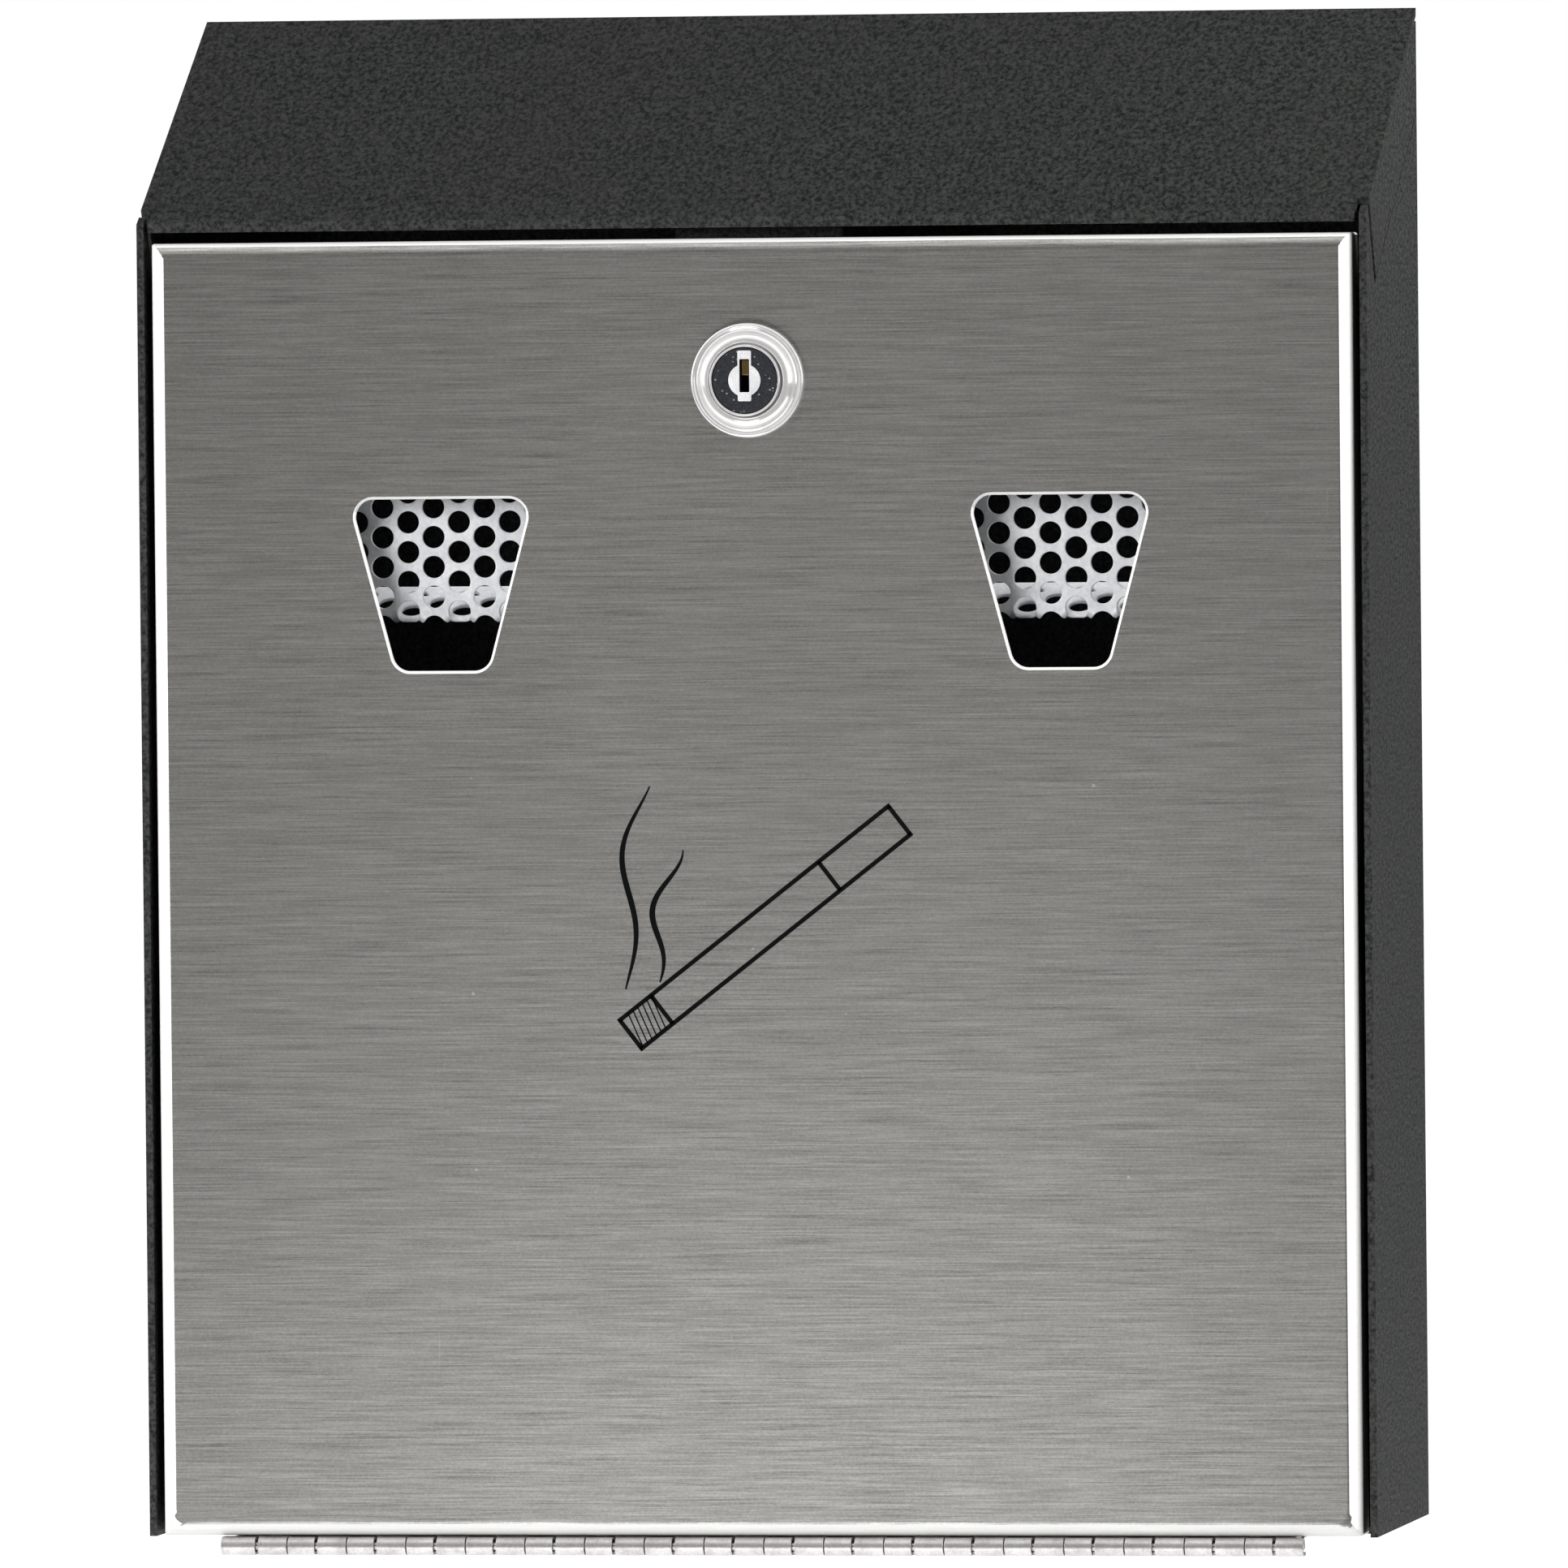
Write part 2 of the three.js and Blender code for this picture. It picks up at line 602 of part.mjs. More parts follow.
// Weld studs on the back of the door, and the nuts that clamp the screens' tabs.
function screenStuds() {
  const y0 = DOOR_BACK_Y + GAP;
  const seatY = y0 + SCREEN_SHEET + GAP;
  let number = 1;
  for (const middle of [-APERTURE_X, APERTURE_X]) {
    for (const x of [middle - STUD_X, middle + STUD_X]) {
      const stud = barY(STUD_RADIUS, STUD_SIDES, x, STUD_Z, y0, y0 + STUD_LENGTH);
      const nut = nutY(NUT_ACROSS, STUD_RADIUS + GAP, STUD_SIDES, x, STUD_Z, seatY, NUT_HEIGHT);
      part(`screen_stud_${number}`, BRIGHT_STEEL, stud);
      part(`screen_nut_${number}`, ZINC, nut);
      number += 1;
    }
  }
}

// ---------------------------------------------------------------- lock

function lockBody() {
  const bore = PLUG_RADIUS + PLUG_CLEARANCE;
  const washerY = DOOR_BACK_Y + GAP;
  const washerBackY = washerY + WASHER_SHEET;
  const clear = LOCK_BODY_RADIUS + GAP;
  const barrelEndY = FACE_Y + LOCK_BODY_LENGTH;
  const profile = [...LOCK_RING, LOCK_RING[0]];
  const ring = turnedY(profile, LOCK_RING_SIDES, 0, FACE_Y, LOCK_Z);
  const barrel = ringY(LOCK_BODY_RADIUS, LOCK_SIDES, bore, LOCK_SIDES, 0, LOCK_Z, FACE_Y, barrelEndY);
  const washer = ringY(WASHER_RADIUS, LOCK_SIDES, clear, LOCK_SIDES, 0, LOCK_Z, washerY, washerBackY);
  const seatY = washerBackY + GAP;
  part('lock_face_ring', CHROME, ring);
  part('lock_barrel', ZINC, barrel);
  part('lock_washer', ZINC, washer);
  part('lock_nut', ZINC, nutY(LOCK_NUT_ACROSS, clear, LOCK_SIDES, 0, LOCK_Z, seatY, LOCK_NUT_HEIGHT));
}

// A square bar along Y on the lock's axis.
function squareBar(half, y0, y1) {
  return box(-half, half, y0, y1, LOCK_Z - half, LOCK_Z + half);
}

// The outline of the bright keyhole plate: a disc with a tab above and below.
function keyholeOutline(grow, y0, y1) {
  const tabX = KEYHOLE_TAB_HALF + grow;
  const [low, high] = KEYHOLE_TABS_Z;
  const disc = barY(KEYHOLE_RADIUS + grow, LOCK_SIDES, 0, LOCK_Z, y0, y1);
  const tab = box(-tabX, tabX, y0, y1, LOCK_Z + low - grow, LOCK_Z + high + grow);
  return disc.add(tab);
}

function lockPlug() {
  const faceY = FACE_Y + PLUG_FACE;
  const shoulderY = FACE_Y + LOCK_BODY_LENGTH + PLUG_CLEARANCE;
  const camY = FACE_Y + CAM_DEPTH;
  const camEndY = camY + CAM_SHEET;
  const screwY = camEndY + GAP;
  const insertY = faceY - INSERT_PROUD;
  const insertBackY = insertY + INSERT_SHEET;
  const [slotLow, slotHigh] = KEY_SLOT_Z;
  const slotEndY = faceY + KEY_SLOT_DEPTH;
  const slot = box(
    -KEY_SLOT_HALF, KEY_SLOT_HALF, insertY - 1, slotEndY, LOCK_Z + slotLow, LOCK_Z + slotHigh,
  );
  const tail = squareBar(TAIL_HALF, shoulderY - 1, camEndY - GAP);
  const screwHoleRadius = CAM_SCREW_RADIUS + GAP;
  const screwEndY = screwY - CAM_SCREW_LENGTH;
  const screwHole = barY(screwHoleRadius, SCREW_SIDES, 0, LOCK_Z, screwEndY - 1, screwY);
  const plug = barY(PLUG_RADIUS, LOCK_SIDES, 0, LOCK_Z, faceY, shoulderY)
    .add(tail)
    .subtract(slot)
    .subtract(keyholeOutline(GAP, faceY - 1, insertBackY + GAP))
    .subtract(screwHole);
  part('lock_plug', DARK_ZINC, plug);
  part('keyway_insert', CHROME, keyholeOutline(0, insertY, insertBackY).subtract(slot));

  const waferY = faceY + WAFER_DEPTH;
  const waferX = KEY_SLOT_HALF - GAP;
  const waferTop = LOCK_Z + slotHigh - GAP;
  const wafer = box(-waferX, waferX, waferY, waferY + WAFER_SHEET, LOCK_Z + WAFER_BOTTOM, waferTop);
  part('lock_wafer', BRASS, wafer);

  const camShape = rounded([
    new THREE.Vector2(-CAM_LENGTH, -CAM_HALF_WIDTH),
    new THREE.Vector2(CAM_HALF_WIDTH, -CAM_HALF_WIDTH),
    new THREE.Vector2(CAM_HALF_WIDTH, CAM_HALF_WIDTH),
    new THREE.Vector2(-CAM_LENGTH, CAM_HALF_WIDTH),
  ], CAM_CORNER);
  const camEye = squareBar(TAIL_HALF + GAP, camY - 1, camEndY + 1);
  const cam = alongY(camShape, camY, camEndY).translate(0, 0, LOCK_Z).subtract(camEye);
  part('lock_cam', BRIGHT_STEEL, cam);

  const [headRadius, headHeight] = CAM_SCREW_HEAD;
  const head = barY(headRadius, 6, 0, LOCK_Z, screwY, screwY + headHeight);
  const shank = barY(CAM_SCREW_RADIUS, SCREW_SIDES, 0, LOCK_Z, screwEndY, screwY + 1);
  part('cam_screw', ZINC, head.add(shank));
}

// ---------------------------------------------------------------- liner

function ashLiner() {
  const wall = LINER_SHEET;
  const lipLow = LINER_TOP - LINER_LIP;
  const outer = box(-LINER_HALF, LINER_HALF, LINER_FRONT_Y, LINER_BACK_Y, LINER_BOTTOM, LINER_TOP);
  const inner = box(
    -LINER_HALF + wall, LINER_HALF - wall,
    LINER_FRONT_Y + wall, LINER_BACK_Y - wall,
    LINER_BOTTOM + wall, LINER_TOP + 1,
  );
  const frontCut = box(
    -LINER_HALF + wall, LINER_HALF - wall,
    LINER_FRONT_Y - 1, LINER_FRONT_Y + 2 * wall,
    lipLow, LINER_TOP + 1,
  );
  const lip = alongX([
    [LINER_FRONT_Y, lipLow - wall],
    [LINER_FRONT_Y + wall, lipLow],
    [LINER_FRONT_Y + wall - LINER_LIP, LINER_TOP],
    [LINER_FRONT_Y - LINER_LIP, LINER_TOP - wall],
  ], -LINER_HALF, LINER_HALF);
  part('ash_liner', GALVANISED, outer.subtract(inner).subtract(frontCut).add(lip));
}

bodyWrap();
topPanel();
bottomPanel();
lockKeeper();
hinge();
doorPanel();
snufferScreen('snuffer_screen_left', -APERTURE_X);
snufferScreen('snuffer_screen_right', APERTURE_X);
screenStuds();
lockBody();
lockPlug();
ashLiner();

export default group;
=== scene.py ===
import math
import bpy, bmesh
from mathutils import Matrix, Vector
from mathutils.geometry import tessellate_polygon


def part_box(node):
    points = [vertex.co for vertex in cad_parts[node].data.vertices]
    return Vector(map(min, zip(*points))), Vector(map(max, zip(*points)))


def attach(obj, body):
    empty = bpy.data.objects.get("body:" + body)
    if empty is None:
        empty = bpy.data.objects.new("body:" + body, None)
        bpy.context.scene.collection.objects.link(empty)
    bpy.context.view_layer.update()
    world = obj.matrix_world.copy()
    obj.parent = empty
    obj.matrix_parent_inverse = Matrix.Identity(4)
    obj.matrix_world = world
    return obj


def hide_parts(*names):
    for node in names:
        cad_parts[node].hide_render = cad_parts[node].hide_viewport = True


# A wall-mounted ashtray bin: a powder-coated box with a drop-down door of brushed stainless sheet.
# Shapes are written in millimetres, in the CAD source's own axes: x across, y back from the front
# (the wall is y = 0), z up from the housing's bottom edge. piece() puts them in the row frame.

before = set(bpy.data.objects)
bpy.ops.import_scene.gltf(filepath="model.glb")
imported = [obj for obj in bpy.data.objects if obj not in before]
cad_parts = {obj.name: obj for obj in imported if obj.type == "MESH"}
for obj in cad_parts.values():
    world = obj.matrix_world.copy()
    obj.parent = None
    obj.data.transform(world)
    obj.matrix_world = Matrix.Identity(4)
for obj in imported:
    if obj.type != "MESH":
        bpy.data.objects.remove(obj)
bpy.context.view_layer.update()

MM = 0.001
BASE_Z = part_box("body_wrap")[0].z / MM
WELD = 1e-7


# ---------------------------------------------------------------- sizes, as in the CAD source

FACE_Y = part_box("door_panel")[0].y / MM
DOOR_SHEET = 0.9
DOOR_BACK_Y = FACE_Y + DOOR_SHEET
DOOR_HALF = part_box("door_panel")[1].x / MM
DOOR_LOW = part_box("door_panel")[0].z / MM - BASE_Z
DOOR_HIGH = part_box("door_panel")[1].z / MM - BASE_Z
DOOR_DEPTH = 12
BEND = 3

APERTURE_X = 66.3
APERTURE = [(-9.8, 183.6), (9.8, 183.6), (19.5, 220), (-19.5, 220)]
APERTURE_CORNER = 3.8
APERTURE_MIDDLE_Z = 202
# (inset, depth) of a hole's eased edge, from the door's face back to the hole's straight wall.
HOLE_EDGE = [(0.58, 0), (0.52, 0.02), (0.10, 0.30), (0.02, 0.40), (0, 0.52)]

SCREEN_Y = DOOR_BACK_Y + 11.7
SCREEN_SHEET = 0.9
FOLD_Z = 193
SHELF_Z = 227
TAB_TOP_Z = 241
FLANGE_LENGTH = 16
FLANGE_RISE = math.radians(27)
PITCH = 6.35
COLUMN = PITCH * math.cos(math.pi / 6)
HOLE_RADIUS = 2.38
FIRST_COLUMN = -15
ROW_Z = 217.2

STUD_Z = 234.5
STUD_X = 20
STUD_RADIUS = 1.5
STUD_LENGTH = 8.2
STUD_NUT_ACROSS, STUD_NUT_HEIGHT = 5.5, 2.4

LOCK_Z = 244.6
LOCK_LENGTH = 17
LOCK_HOLE_RADIUS = 9.6
BARREL_BORE, BARREL_THREAD, BARREL_ROOT = 7.15, 9.2, 8.85
BACK_NUT_BORE, BACK_NUT_ACROSS, BACK_NUT_HEIGHT = 9.45, 25, 4
WASHER_RADIUS, WASHER_SHEET = 13.5, 1
PLUG_Y = FACE_Y - 4.1
PLUG_RADIUS = 6.95
KEY_SLOT_HALF = 1.05
KEY_SLOT_LOW, KEY_SLOT_HIGH = LOCK_Z - 2.5, LOCK_Z + 4.5
KEY_SLOT_DEPTH = 9
KEYWAY_RADIUS, KEYWAY_TAB_HALF = 3.45, 1.45
KEYWAY_LOW, KEYWAY_HIGH = LOCK_Z - 4.4, LOCK_Z + 6.3
WAFER_HALF, WAFER_LOW, WAFER_HIGH = 0.8, LOCK_Z + 1.1, LOCK_Z + 4.3
CAM_Y = FACE_Y + 17.5
CAM_LENGTH, CAM_HALF, CAM_SHEET = 29, 7.5, 2
TAIL_HALF = 3

HINGE_HALF = 116.2
FIRST_KNUCKLE = 8
KNUCKLE = 6.42
AXIS_Y = FACE_Y + 1.9
AXIS_Z = -2.05
BARREL = 1.95
HINGE_SHEET = 0.75
LEAF_SHORT = 2.2
KNUCKLE_EASE, KNUCKLE_PLAY = 0.12, 0.55
PIN_RADIUS, PIN_TIP = 0.85, 0.3
RIVET_XS = [-105, -35, 35, 105]
DOOR_RIVET_Y = FACE_Y + 7.5
BODY_RIVET_Y = -51.5
RIVET_RADIUS, RIVET_HEAD, RIVET_CROWN = 1.6, 3.0, 1.1


# ---------------------------------------------------------------- material nodes

def node(tree, kind, inputs=None, **settings):
    made = tree.nodes.new(kind)
    for key, value in settings.items():
        setattr(made, key, value)
    for key, value in (inputs or {}).items():
        if isinstance(value, bpy.types.NodeSocket):
            tree.links.new(value, made.inputs[key])
        else:
            made.inputs[key].default_value = value
    return made


def noise(tree, coords, stretch, detail=3.0, rough=0.55):
    """Noise with stretch features per metre along each axis, 0 to 1."""
    placed = node(tree, "ShaderNodeMapping", {"Vector": coords, "Scale": stretch})
    inputs = {"Vector": placed.outputs[0], "Scale": 1.0, "Detail": detail, "Roughness": rough}
    return node(tree, "ShaderNodeTexNoise", inputs).outputs["Fac"]


def spread(tree, value, low, high, out_low=0.0, out_high=1.0):
    """value, taken from low..high to out_low..out_high."""
    inputs = {"Value": value, "From Min": low, "From Max": high, "To Min": out_low, "To Max": out_high}
    return node(tree, "ShaderNodeMapRange", inputs).outputs[0]


def maths(tree, operation, a, b=0.0):
    return node(tree, "ShaderNodeMath", {0: a, 1: b}, operation=operation).outputs[0]


def blend_colour(tree, fac, a, b, mode="MIX"):
    made = node(tree, "ShaderNodeMix", data_type="RGBA", blend_type=mode)
    for key, value in (("Factor_Float", fac), ("A_Color", a), ("B_Color", b)):
        socket = next(s for s in made.inputs if s.identifier == key)
        if isinstance(value, bpy.types.NodeSocket):
            tree.links.new(value, socket)
        else:
            socket.default_value = value if isinstance(value, (int, float)) else (*value, 1.0)
    return next(s for s in made.outputs if s.identifier == "Result_Color")


def bumped(tree, height, distance, strength=1.0, below=None):
    inputs = {"Height": height, "Distance": distance, "Strength": strength}
    if below:
        inputs["Normal"] = below
    return node(tree, "ShaderNodeBump", inputs).outputs[0]


def material(name, **constants):
    """A principled material, its node tree, its shader and its object coordinates."""
    made = bpy.data.materials.new(name)
    made.use_nodes = True
    tree = made.node_tree
    shader = tree.nodes["Principled BSDF"]
    for key, value in constants.items():
        shader.inputs[key.replace("_", " ")].default_value = value
    coords = tree.nodes.new("ShaderNodeTexCoord").outputs["Object"]
    return made, tree, shader, coords


def feed(tree, shader, colour=None, rough=None, normal=None):
    for key, value in (("Base Color", colour), ("Roughness", rough), ("Normal", normal)):
        if value is not None:
            tree.links.new(value, shader.inputs[key])


def powder_coat():
    """Charcoal polyester powder coat: a fine sandy texture with a faint orange peel under it."""
    made, tree, shader, coords = material("powder_coat", Specular_IOR_Level=0.25)
    peel = noise(tree, coords, (420, 260, 420), 2.0)
    grit = noise(tree, coords, (1100, 480, 1100), 3.0, 0.7)
    cloud = noise(tree, coords, (14, 14, 14), 4.0)
    tint = blend_colour(tree, spread(tree, grit, 0.36, 0.64), (0.004, 0.0055, 0.005), (0.046, 0.048, 0.046))
    dust = spread(tree, cloud, 0.35, 0.8, 0.0, 0.25)
    tint = blend_colour(tree, dust, tint, (0.030, 0.030, 0.028))
    height = bumped(tree, peel, 0.00010, 0.5)
    height = bumped(tree, grit, 0.00022, 0.9, height)
    feed(tree, shader, tint, spread(tree, grit, 0.25, 0.8, 0.66, 0.46), height)
    return made


def brushed_steel(name, dark, light, rough, **constants):
    """Stainless sheet with a horizontal brushed finish, a few stray scratches and specks."""
    made, tree, shader, coords = material(name, Anisotropic=0.75, **constants)
    streak = noise(tree, coords, (55, 700, 3000), 4.0, 0.7)
    grit = noise(tree, coords, (1800, 1800, 2600), 2.0)
    fine = maths(tree, "ADD", maths(tree, "MULTIPLY", streak, 0.75), maths(tree, "MULTIPLY", grit, 0.25))
    coarse = noise(tree, coords, (25, 300, 800), 1.0)
    cloud = noise(tree, coords, (5, 5, 7), 3.0)
    stray = noise(tree, coords, (1500, 900, 45), 1.0)
    patch = noise(tree, coords, (11, 11, 11), 1.0)
    scratch = spread(tree, stray, 0.76, 0.84, 0.0, 0.35)
    scratch = maths(tree, "MULTIPLY", scratch, spread(tree, patch, 0.54, 0.64))
    cells = node(tree, "ShaderNodeTexVoronoi", {"Vector": coords, "Scale": 150.0})
    speck = spread(tree, cells.outputs["Distance"], 0.075, 0.04)
    pick = node(tree, "ShaderNodeSeparateColor", {"Color": cells.outputs["Color"]})
    speck = maths(tree, "MULTIPLY", speck, spread(tree, pick.outputs[0], 0.94, 0.95))
    grain = maths(tree, "ADD", maths(tree, "MULTIPLY", fine, 0.88), maths(tree, "MULTIPLY", coarse, 0.12))
    tint = blend_colour(tree, spread(tree, grain, 0.34, 0.66), dark, light)
    tint = blend_colour(tree, spread(tree, cloud, 0.3, 0.7, 0.0, 0.2), tint, dark)
    tint = blend_colour(tree, maths(tree, "MAXIMUM", scratch, speck), tint, (0.92, 0.91, 0.90))
    height = bumped(tree, fine, 0.000005, 0.6)
    feed(tree, shader, tint, spread(tree, grain, 0.3, 0.7, rough[0], rough[1]), height)
    tangent = node(tree, "ShaderNodeTangent", direction_type="RADIAL", axis="X")
    tree.links.new(tangent.outputs[0], shader.inputs["Tangent"])
    return made


def metal(name, dark, light, rough, scale, depth, **constants):
    """A metal with a mottled colour, a roughness that follows it, and a fine bump."""
    constants.setdefault("Metallic", 1.0)
    made, tree, shader, coords = material(name, **constants)
    mottle = noise(tree, coords, (scale, scale, scale), 4.0, 0.6)
    grain = noise(tree, coords, (scale * 7, scale * 7, scale * 7), 3.0, 0.6)
    mixed = maths(tree, "ADD", maths(tree, "MULTIPLY", mottle, 0.6), maths(tree, "MULTIPLY", grain, 0.4))
    tint = blend_colour(tree, spread(tree, mixed, 0.35, 0.65), dark, light)
    feed(tree, shader, tint, spread(tree, mixed, 0.3, 0.7, rough[0], rough[1]), bumped(tree, grain, depth))
    return made


def galvanised():
    """Zinc spangle: flat crystals of slightly different brightness and grain."""
    made, tree, shader, coords = material("galvanised", Metallic=0.85)
    cells = node(tree, "ShaderNodeTexVoronoi", {"Vector": coords, "Scale": 95.0})
    pick = node(tree, "ShaderNodeSeparateColor", {"Color": cells.outputs["Color"]}).outputs[0]
    frost = noise(tree, coords, (900, 900, 900), 3.0)
    tint = blend_colour(tree, pick, (0.42, 0.44, 0.45), (0.66, 0.68, 0.70))
    tint = blend_colour(tree, spread(tree, frost, 0.4, 0.7, 0.0, 0.4), tint, (0.56, 0.57, 0.58))
    rough = spread(tree, pick, 0.0, 1.0, 0.55, 0.36)
    rough = maths(tree, "ADD", rough, spread(tree, frost, 0.3, 0.7, -0.04, 0.04))
    height = bumped(tree, pick, 0.00003, 0.4)
    feed(tree, shader, tint, rough, bumped(tree, frost, 0.00004, 0.5, height))
    return made


def speckled_plug():
    """Dark burnished plug face with fine light specks."""
    made, tree, shader, coords = material("dark_plug", Metallic=0.6)
    grit = noise(tree, coords, (4200, 4200, 4200), 2.0, 0.6)
    cells = node(tree, "ShaderNodeTexVoronoi", {"Vector": coords, "Scale": 1300.0})
    pick = node(tree, "ShaderNodeSeparateColor", {"Color": cells.outputs["Color"]}).outputs[0]
    speck = spread(tree, cells.outputs["Distance"], 0.30, 0.18)
    speck = maths(tree, "MULTIPLY", speck, spread(tree, pick, 0.70, 0.80))
    tint = blend_colour(tree, spread(tree, grit, 0.35, 0.65), (0.026, 0.029, 0.035), (0.060, 0.064, 0.074))
    tint = blend_colour(tree, speck, tint, (0.45, 0.46, 0.48))
    feed(tree, shader, tint, spread(tree, grit, 0.3, 0.7, 0.5, 0.36), bumped(tree, grit, 0.00006, 0.6))
    return made


def ink():
    """Screen-printed black ink, slightly uneven."""
    made, tree, shader, coords = material("printed_ink", Specular_IOR_Level=0.06)
    grain = noise(tree, coords, (1800, 1800, 1800), 3.0)
    tint = blend_colour(tree, grain, (0.001, 0.0015, 0.0015), (0.005, 0.0055, 0.0055))
    feed(tree, shader, tint, spread(tree, grain, 0.3, 0.7, 0.55, 0.42), bumped(tree, grain, 0.00002, 0.5))
    return made


POWDER = powder_coat()
BRUSHED = brushed_steel(
    "brushed_steel", (0.27, 0.263, 0.251), (0.83, 0.816, 0.785), (0.38, 0.29), Metallic=1.0,
)
# Painted highlight: a near-white, barely metallic copy of the brushed steel that stands in for the bright
# reflection along the door's bends and aperture edges.
PAINTED_HIGHLIGHT = brushed_steel(
    "painted_highlight_bend", (0.88, 0.87, 0.85), (0.97, 0.97, 0.96), (0.45, 0.38), Metallic=0.15,
)
# Painted highlight, dimmer: the same kind of pale, barely metallic copy of the steel, for the door's
# downward-facing bottom bend.
PAINTED_DIM_HIGHLIGHT = brushed_steel(
    "painted_dim_highlight_bend", (0.60, 0.60, 0.585), (0.72, 0.725, 0.705), (0.45, 0.38), Metallic=0.15,
)
BRIGHT_SHEET = metal(
    "perforated_sheet", (0.66, 0.67, 0.70), (0.92, 0.93, 0.95), (0.46, 0.34), 160, 0.00003, Metallic=0.25,
)
HINGE_STEEL = metal(
    "hinge_steel", (0.46, 0.44, 0.435), (0.72, 0.70, 0.70), (0.42, 0.28), 260, 0.00003, Metallic=0.8,
)
STUD_STEEL = metal("stud_steel", (0.50, 0.49, 0.46), (0.72, 0.71, 0.68), (0.42, 0.30), 300, 0.00002)
ZINC = metal("zinc_plate", (0.48, 0.47, 0.42), (0.70, 0.69, 0.64), (0.46, 0.32), 220, 0.00003)
CHROME = metal(
    "chrome", (0.80, 0.79, 0.79), (0.90, 0.89, 0.89), (0.12, 0.07), 120, 0.000004, Metallic=0.6,
)
NICKEL = metal(
    "nickel", (0.72, 0.72, 0.74), (0.95, 0.95, 0.97), (0.36, 0.22), 500, 0.00002, Metallic=0.35,
)
BRASS = metal("brass", (0.42, 0.27, 0.09), (0.66, 0.46, 0.18), (0.40, 0.28), 400, 0.00002)
GALVANISED = galvanised()
PLUG = speckled_plug()
INK = ink()


# ---------------------------------------------------------------- outlines and solids

def along_y(a, b, depth):
    return (a, depth, b)


def along_x(a, b, depth):
    return (depth, a, b)


def along_z(a, b, depth):
    return (a, b, depth)


def circle(a, b, radius, sides, turn=0.0):
    steps = [turn + 2 * math.pi * i / sides for i in range(sides)]
    return [(a + radius * math.cos(t), b + radius * math.sin(t)) for t in steps]


def rounded(corners, radii, steps=8):
    """A counter-clockwise outline with each corner rounded; radii is one number or one per corner."""
    if isinstance(radii, (int, float)):
        radii = [radii] * len(corners)
    points = []
    for i, corner in enumerate(corners):
        here = Vector(corner)
        before = (Vector(corners[i - 1]) - here).normalized()
        after = (Vector(corners[(i + 1) % len(corners)]) - here).normalized()
        half = before.angle(after) / 2
        centre = here + (before + after).normalized() * radii[i] / math.sin(half)
        start = here + before * radii[i] / math.tan(half) - centre
        end = here + after * radii[i] / math.tan(half) - centre
        first = math.atan2(start.y, start.x)
        sweep = (math.atan2(end.y, end.x) - first) % (2 * math.pi)
        for k in range(steps + 1):
            t = first + sweep * k / steps
            points.append((centre.x + radii[i] * math.cos(t), centre.y + radii[i] * math.sin(t)))
    return points


def counter_clockwise(loop):
    area = sum(a[0] * b[1] - b[0] * a[1] for a, b in zip(loop, loop[1:] + loop[:1]))
    return loop if area > 0 else loop[::-1]


def grown(loop, amount):
    """The counter-clockwise outline moved outwards by amount, corners mitred."""
    made = []
    for i, here in enumerate(loop):
        here = Vector(here)
        before = (here - Vector(loop[i - 1])).normalized()
        after = (Vector(loop[(i + 1) % len(loop)]) - here).normalized()
        out = Vector((before.y, -before.x)) + Vector((after.y, -after.x))
        out.normalize()
        lean = max(out.dot(Vector((before.y, -before.x))), 0.3)
        made.append(tuple(here + out * amount / lean))
    return made


class Solid:
    """Points in mm and the faces between them, gathered before they become a mesh."""

    def __init__(self):
        self.points, self.polys = [], []

    def ring(self, points):
        start = len(self.points)
        self.points.extend(points)
        return list(range(start, start + len(points)))

    def wall(self, a, b, closed=True):
        count = len(a)
        for i in range(count if closed else count - 1):
            j = (i + 1) % count
            self.polys.append([a[i], a[j], b[j], b[i]])

    def cap(self, loops, rings):
        """Fills the first loop, less the others; rings are the same loops as point numbers."""
        numbers = [i for ring in rings for i in ring]
        if len(loops) == 1:
            self.polys.append(numbers)
            return
        flat = [[Vector((a, b, 0)) for a, b in loop] for loop in loops]
        self.polys.extend([numbers[i] for i in triangle] for triangle in tessellate_polygon(flat))

    def add(self, other):
        start = len(self.points)
        self.points.extend(other.points)
        self.polys.extend([start + i for i in poly] for poly in other.polys)
        return self


def rolled(edge, steps=3):
    """(inset, depth) pairs that round an edge, from the flat face to the side wall."""
    angles = [math.pi / 2 * k / steps for k in range(steps + 1)]
    return [(edge * (1 - math.sin(t)), edge * (1 - math.cos(t))) for t in angles]


def prism(outer, near, far, place, holes=(), edge=0.1, hole_edge=None):
    """A plate from near to far with rounded edges and through holes."""
    made = Solid()
    hole_edge = edge if hole_edge is None else hole_edge
    loops = [(counter_clockwise(list(outer)), -1, edge)]
    loops += [(counter_clockwise(list(hole)), 1, hole_edge) for hole in holes]
    sign = 1 if far > near else -1
    ends = []
    for base, direction in ((near, sign), (far, -sign)):
        faces = []
        for loop, side, width in loops:
            rings = []
            for inset, depth in rolled(width):
                moved = grown(loop, side * inset)
                rings.append((moved, made.ring([place(a, b, base + direction * depth) for a, b in moved])))
            for (_, one), (_, two) in zip(rings, rings[1:]):
                made.wall(one, two)
            faces.append(rings)
        made.cap([rings[0][0] for rings in faces], [rings[0][1] for rings in faces])
        ends.append([rings[-1][1] for rings in faces])
    for one, two in zip(*ends):
        made.wall(one, two)
    return made


def lathe(profile, a, b, place, sides=64):
    """A closed (radius, depth) profile turned about the axis through (a, b)."""
    made = Solid()
    loops = [(circle(a, b, radius, sides), depth) for radius, depth in profile]
    rings = [made.ring([place(p, q, depth) for p, q in loop]) for loop, depth in loops]
    for one, two in zip(rings, rings[1:]):
        made.wall(one, two)
    if profile[0][0] > 0:
        made.wall(rings[-1], rings[0])
    return made


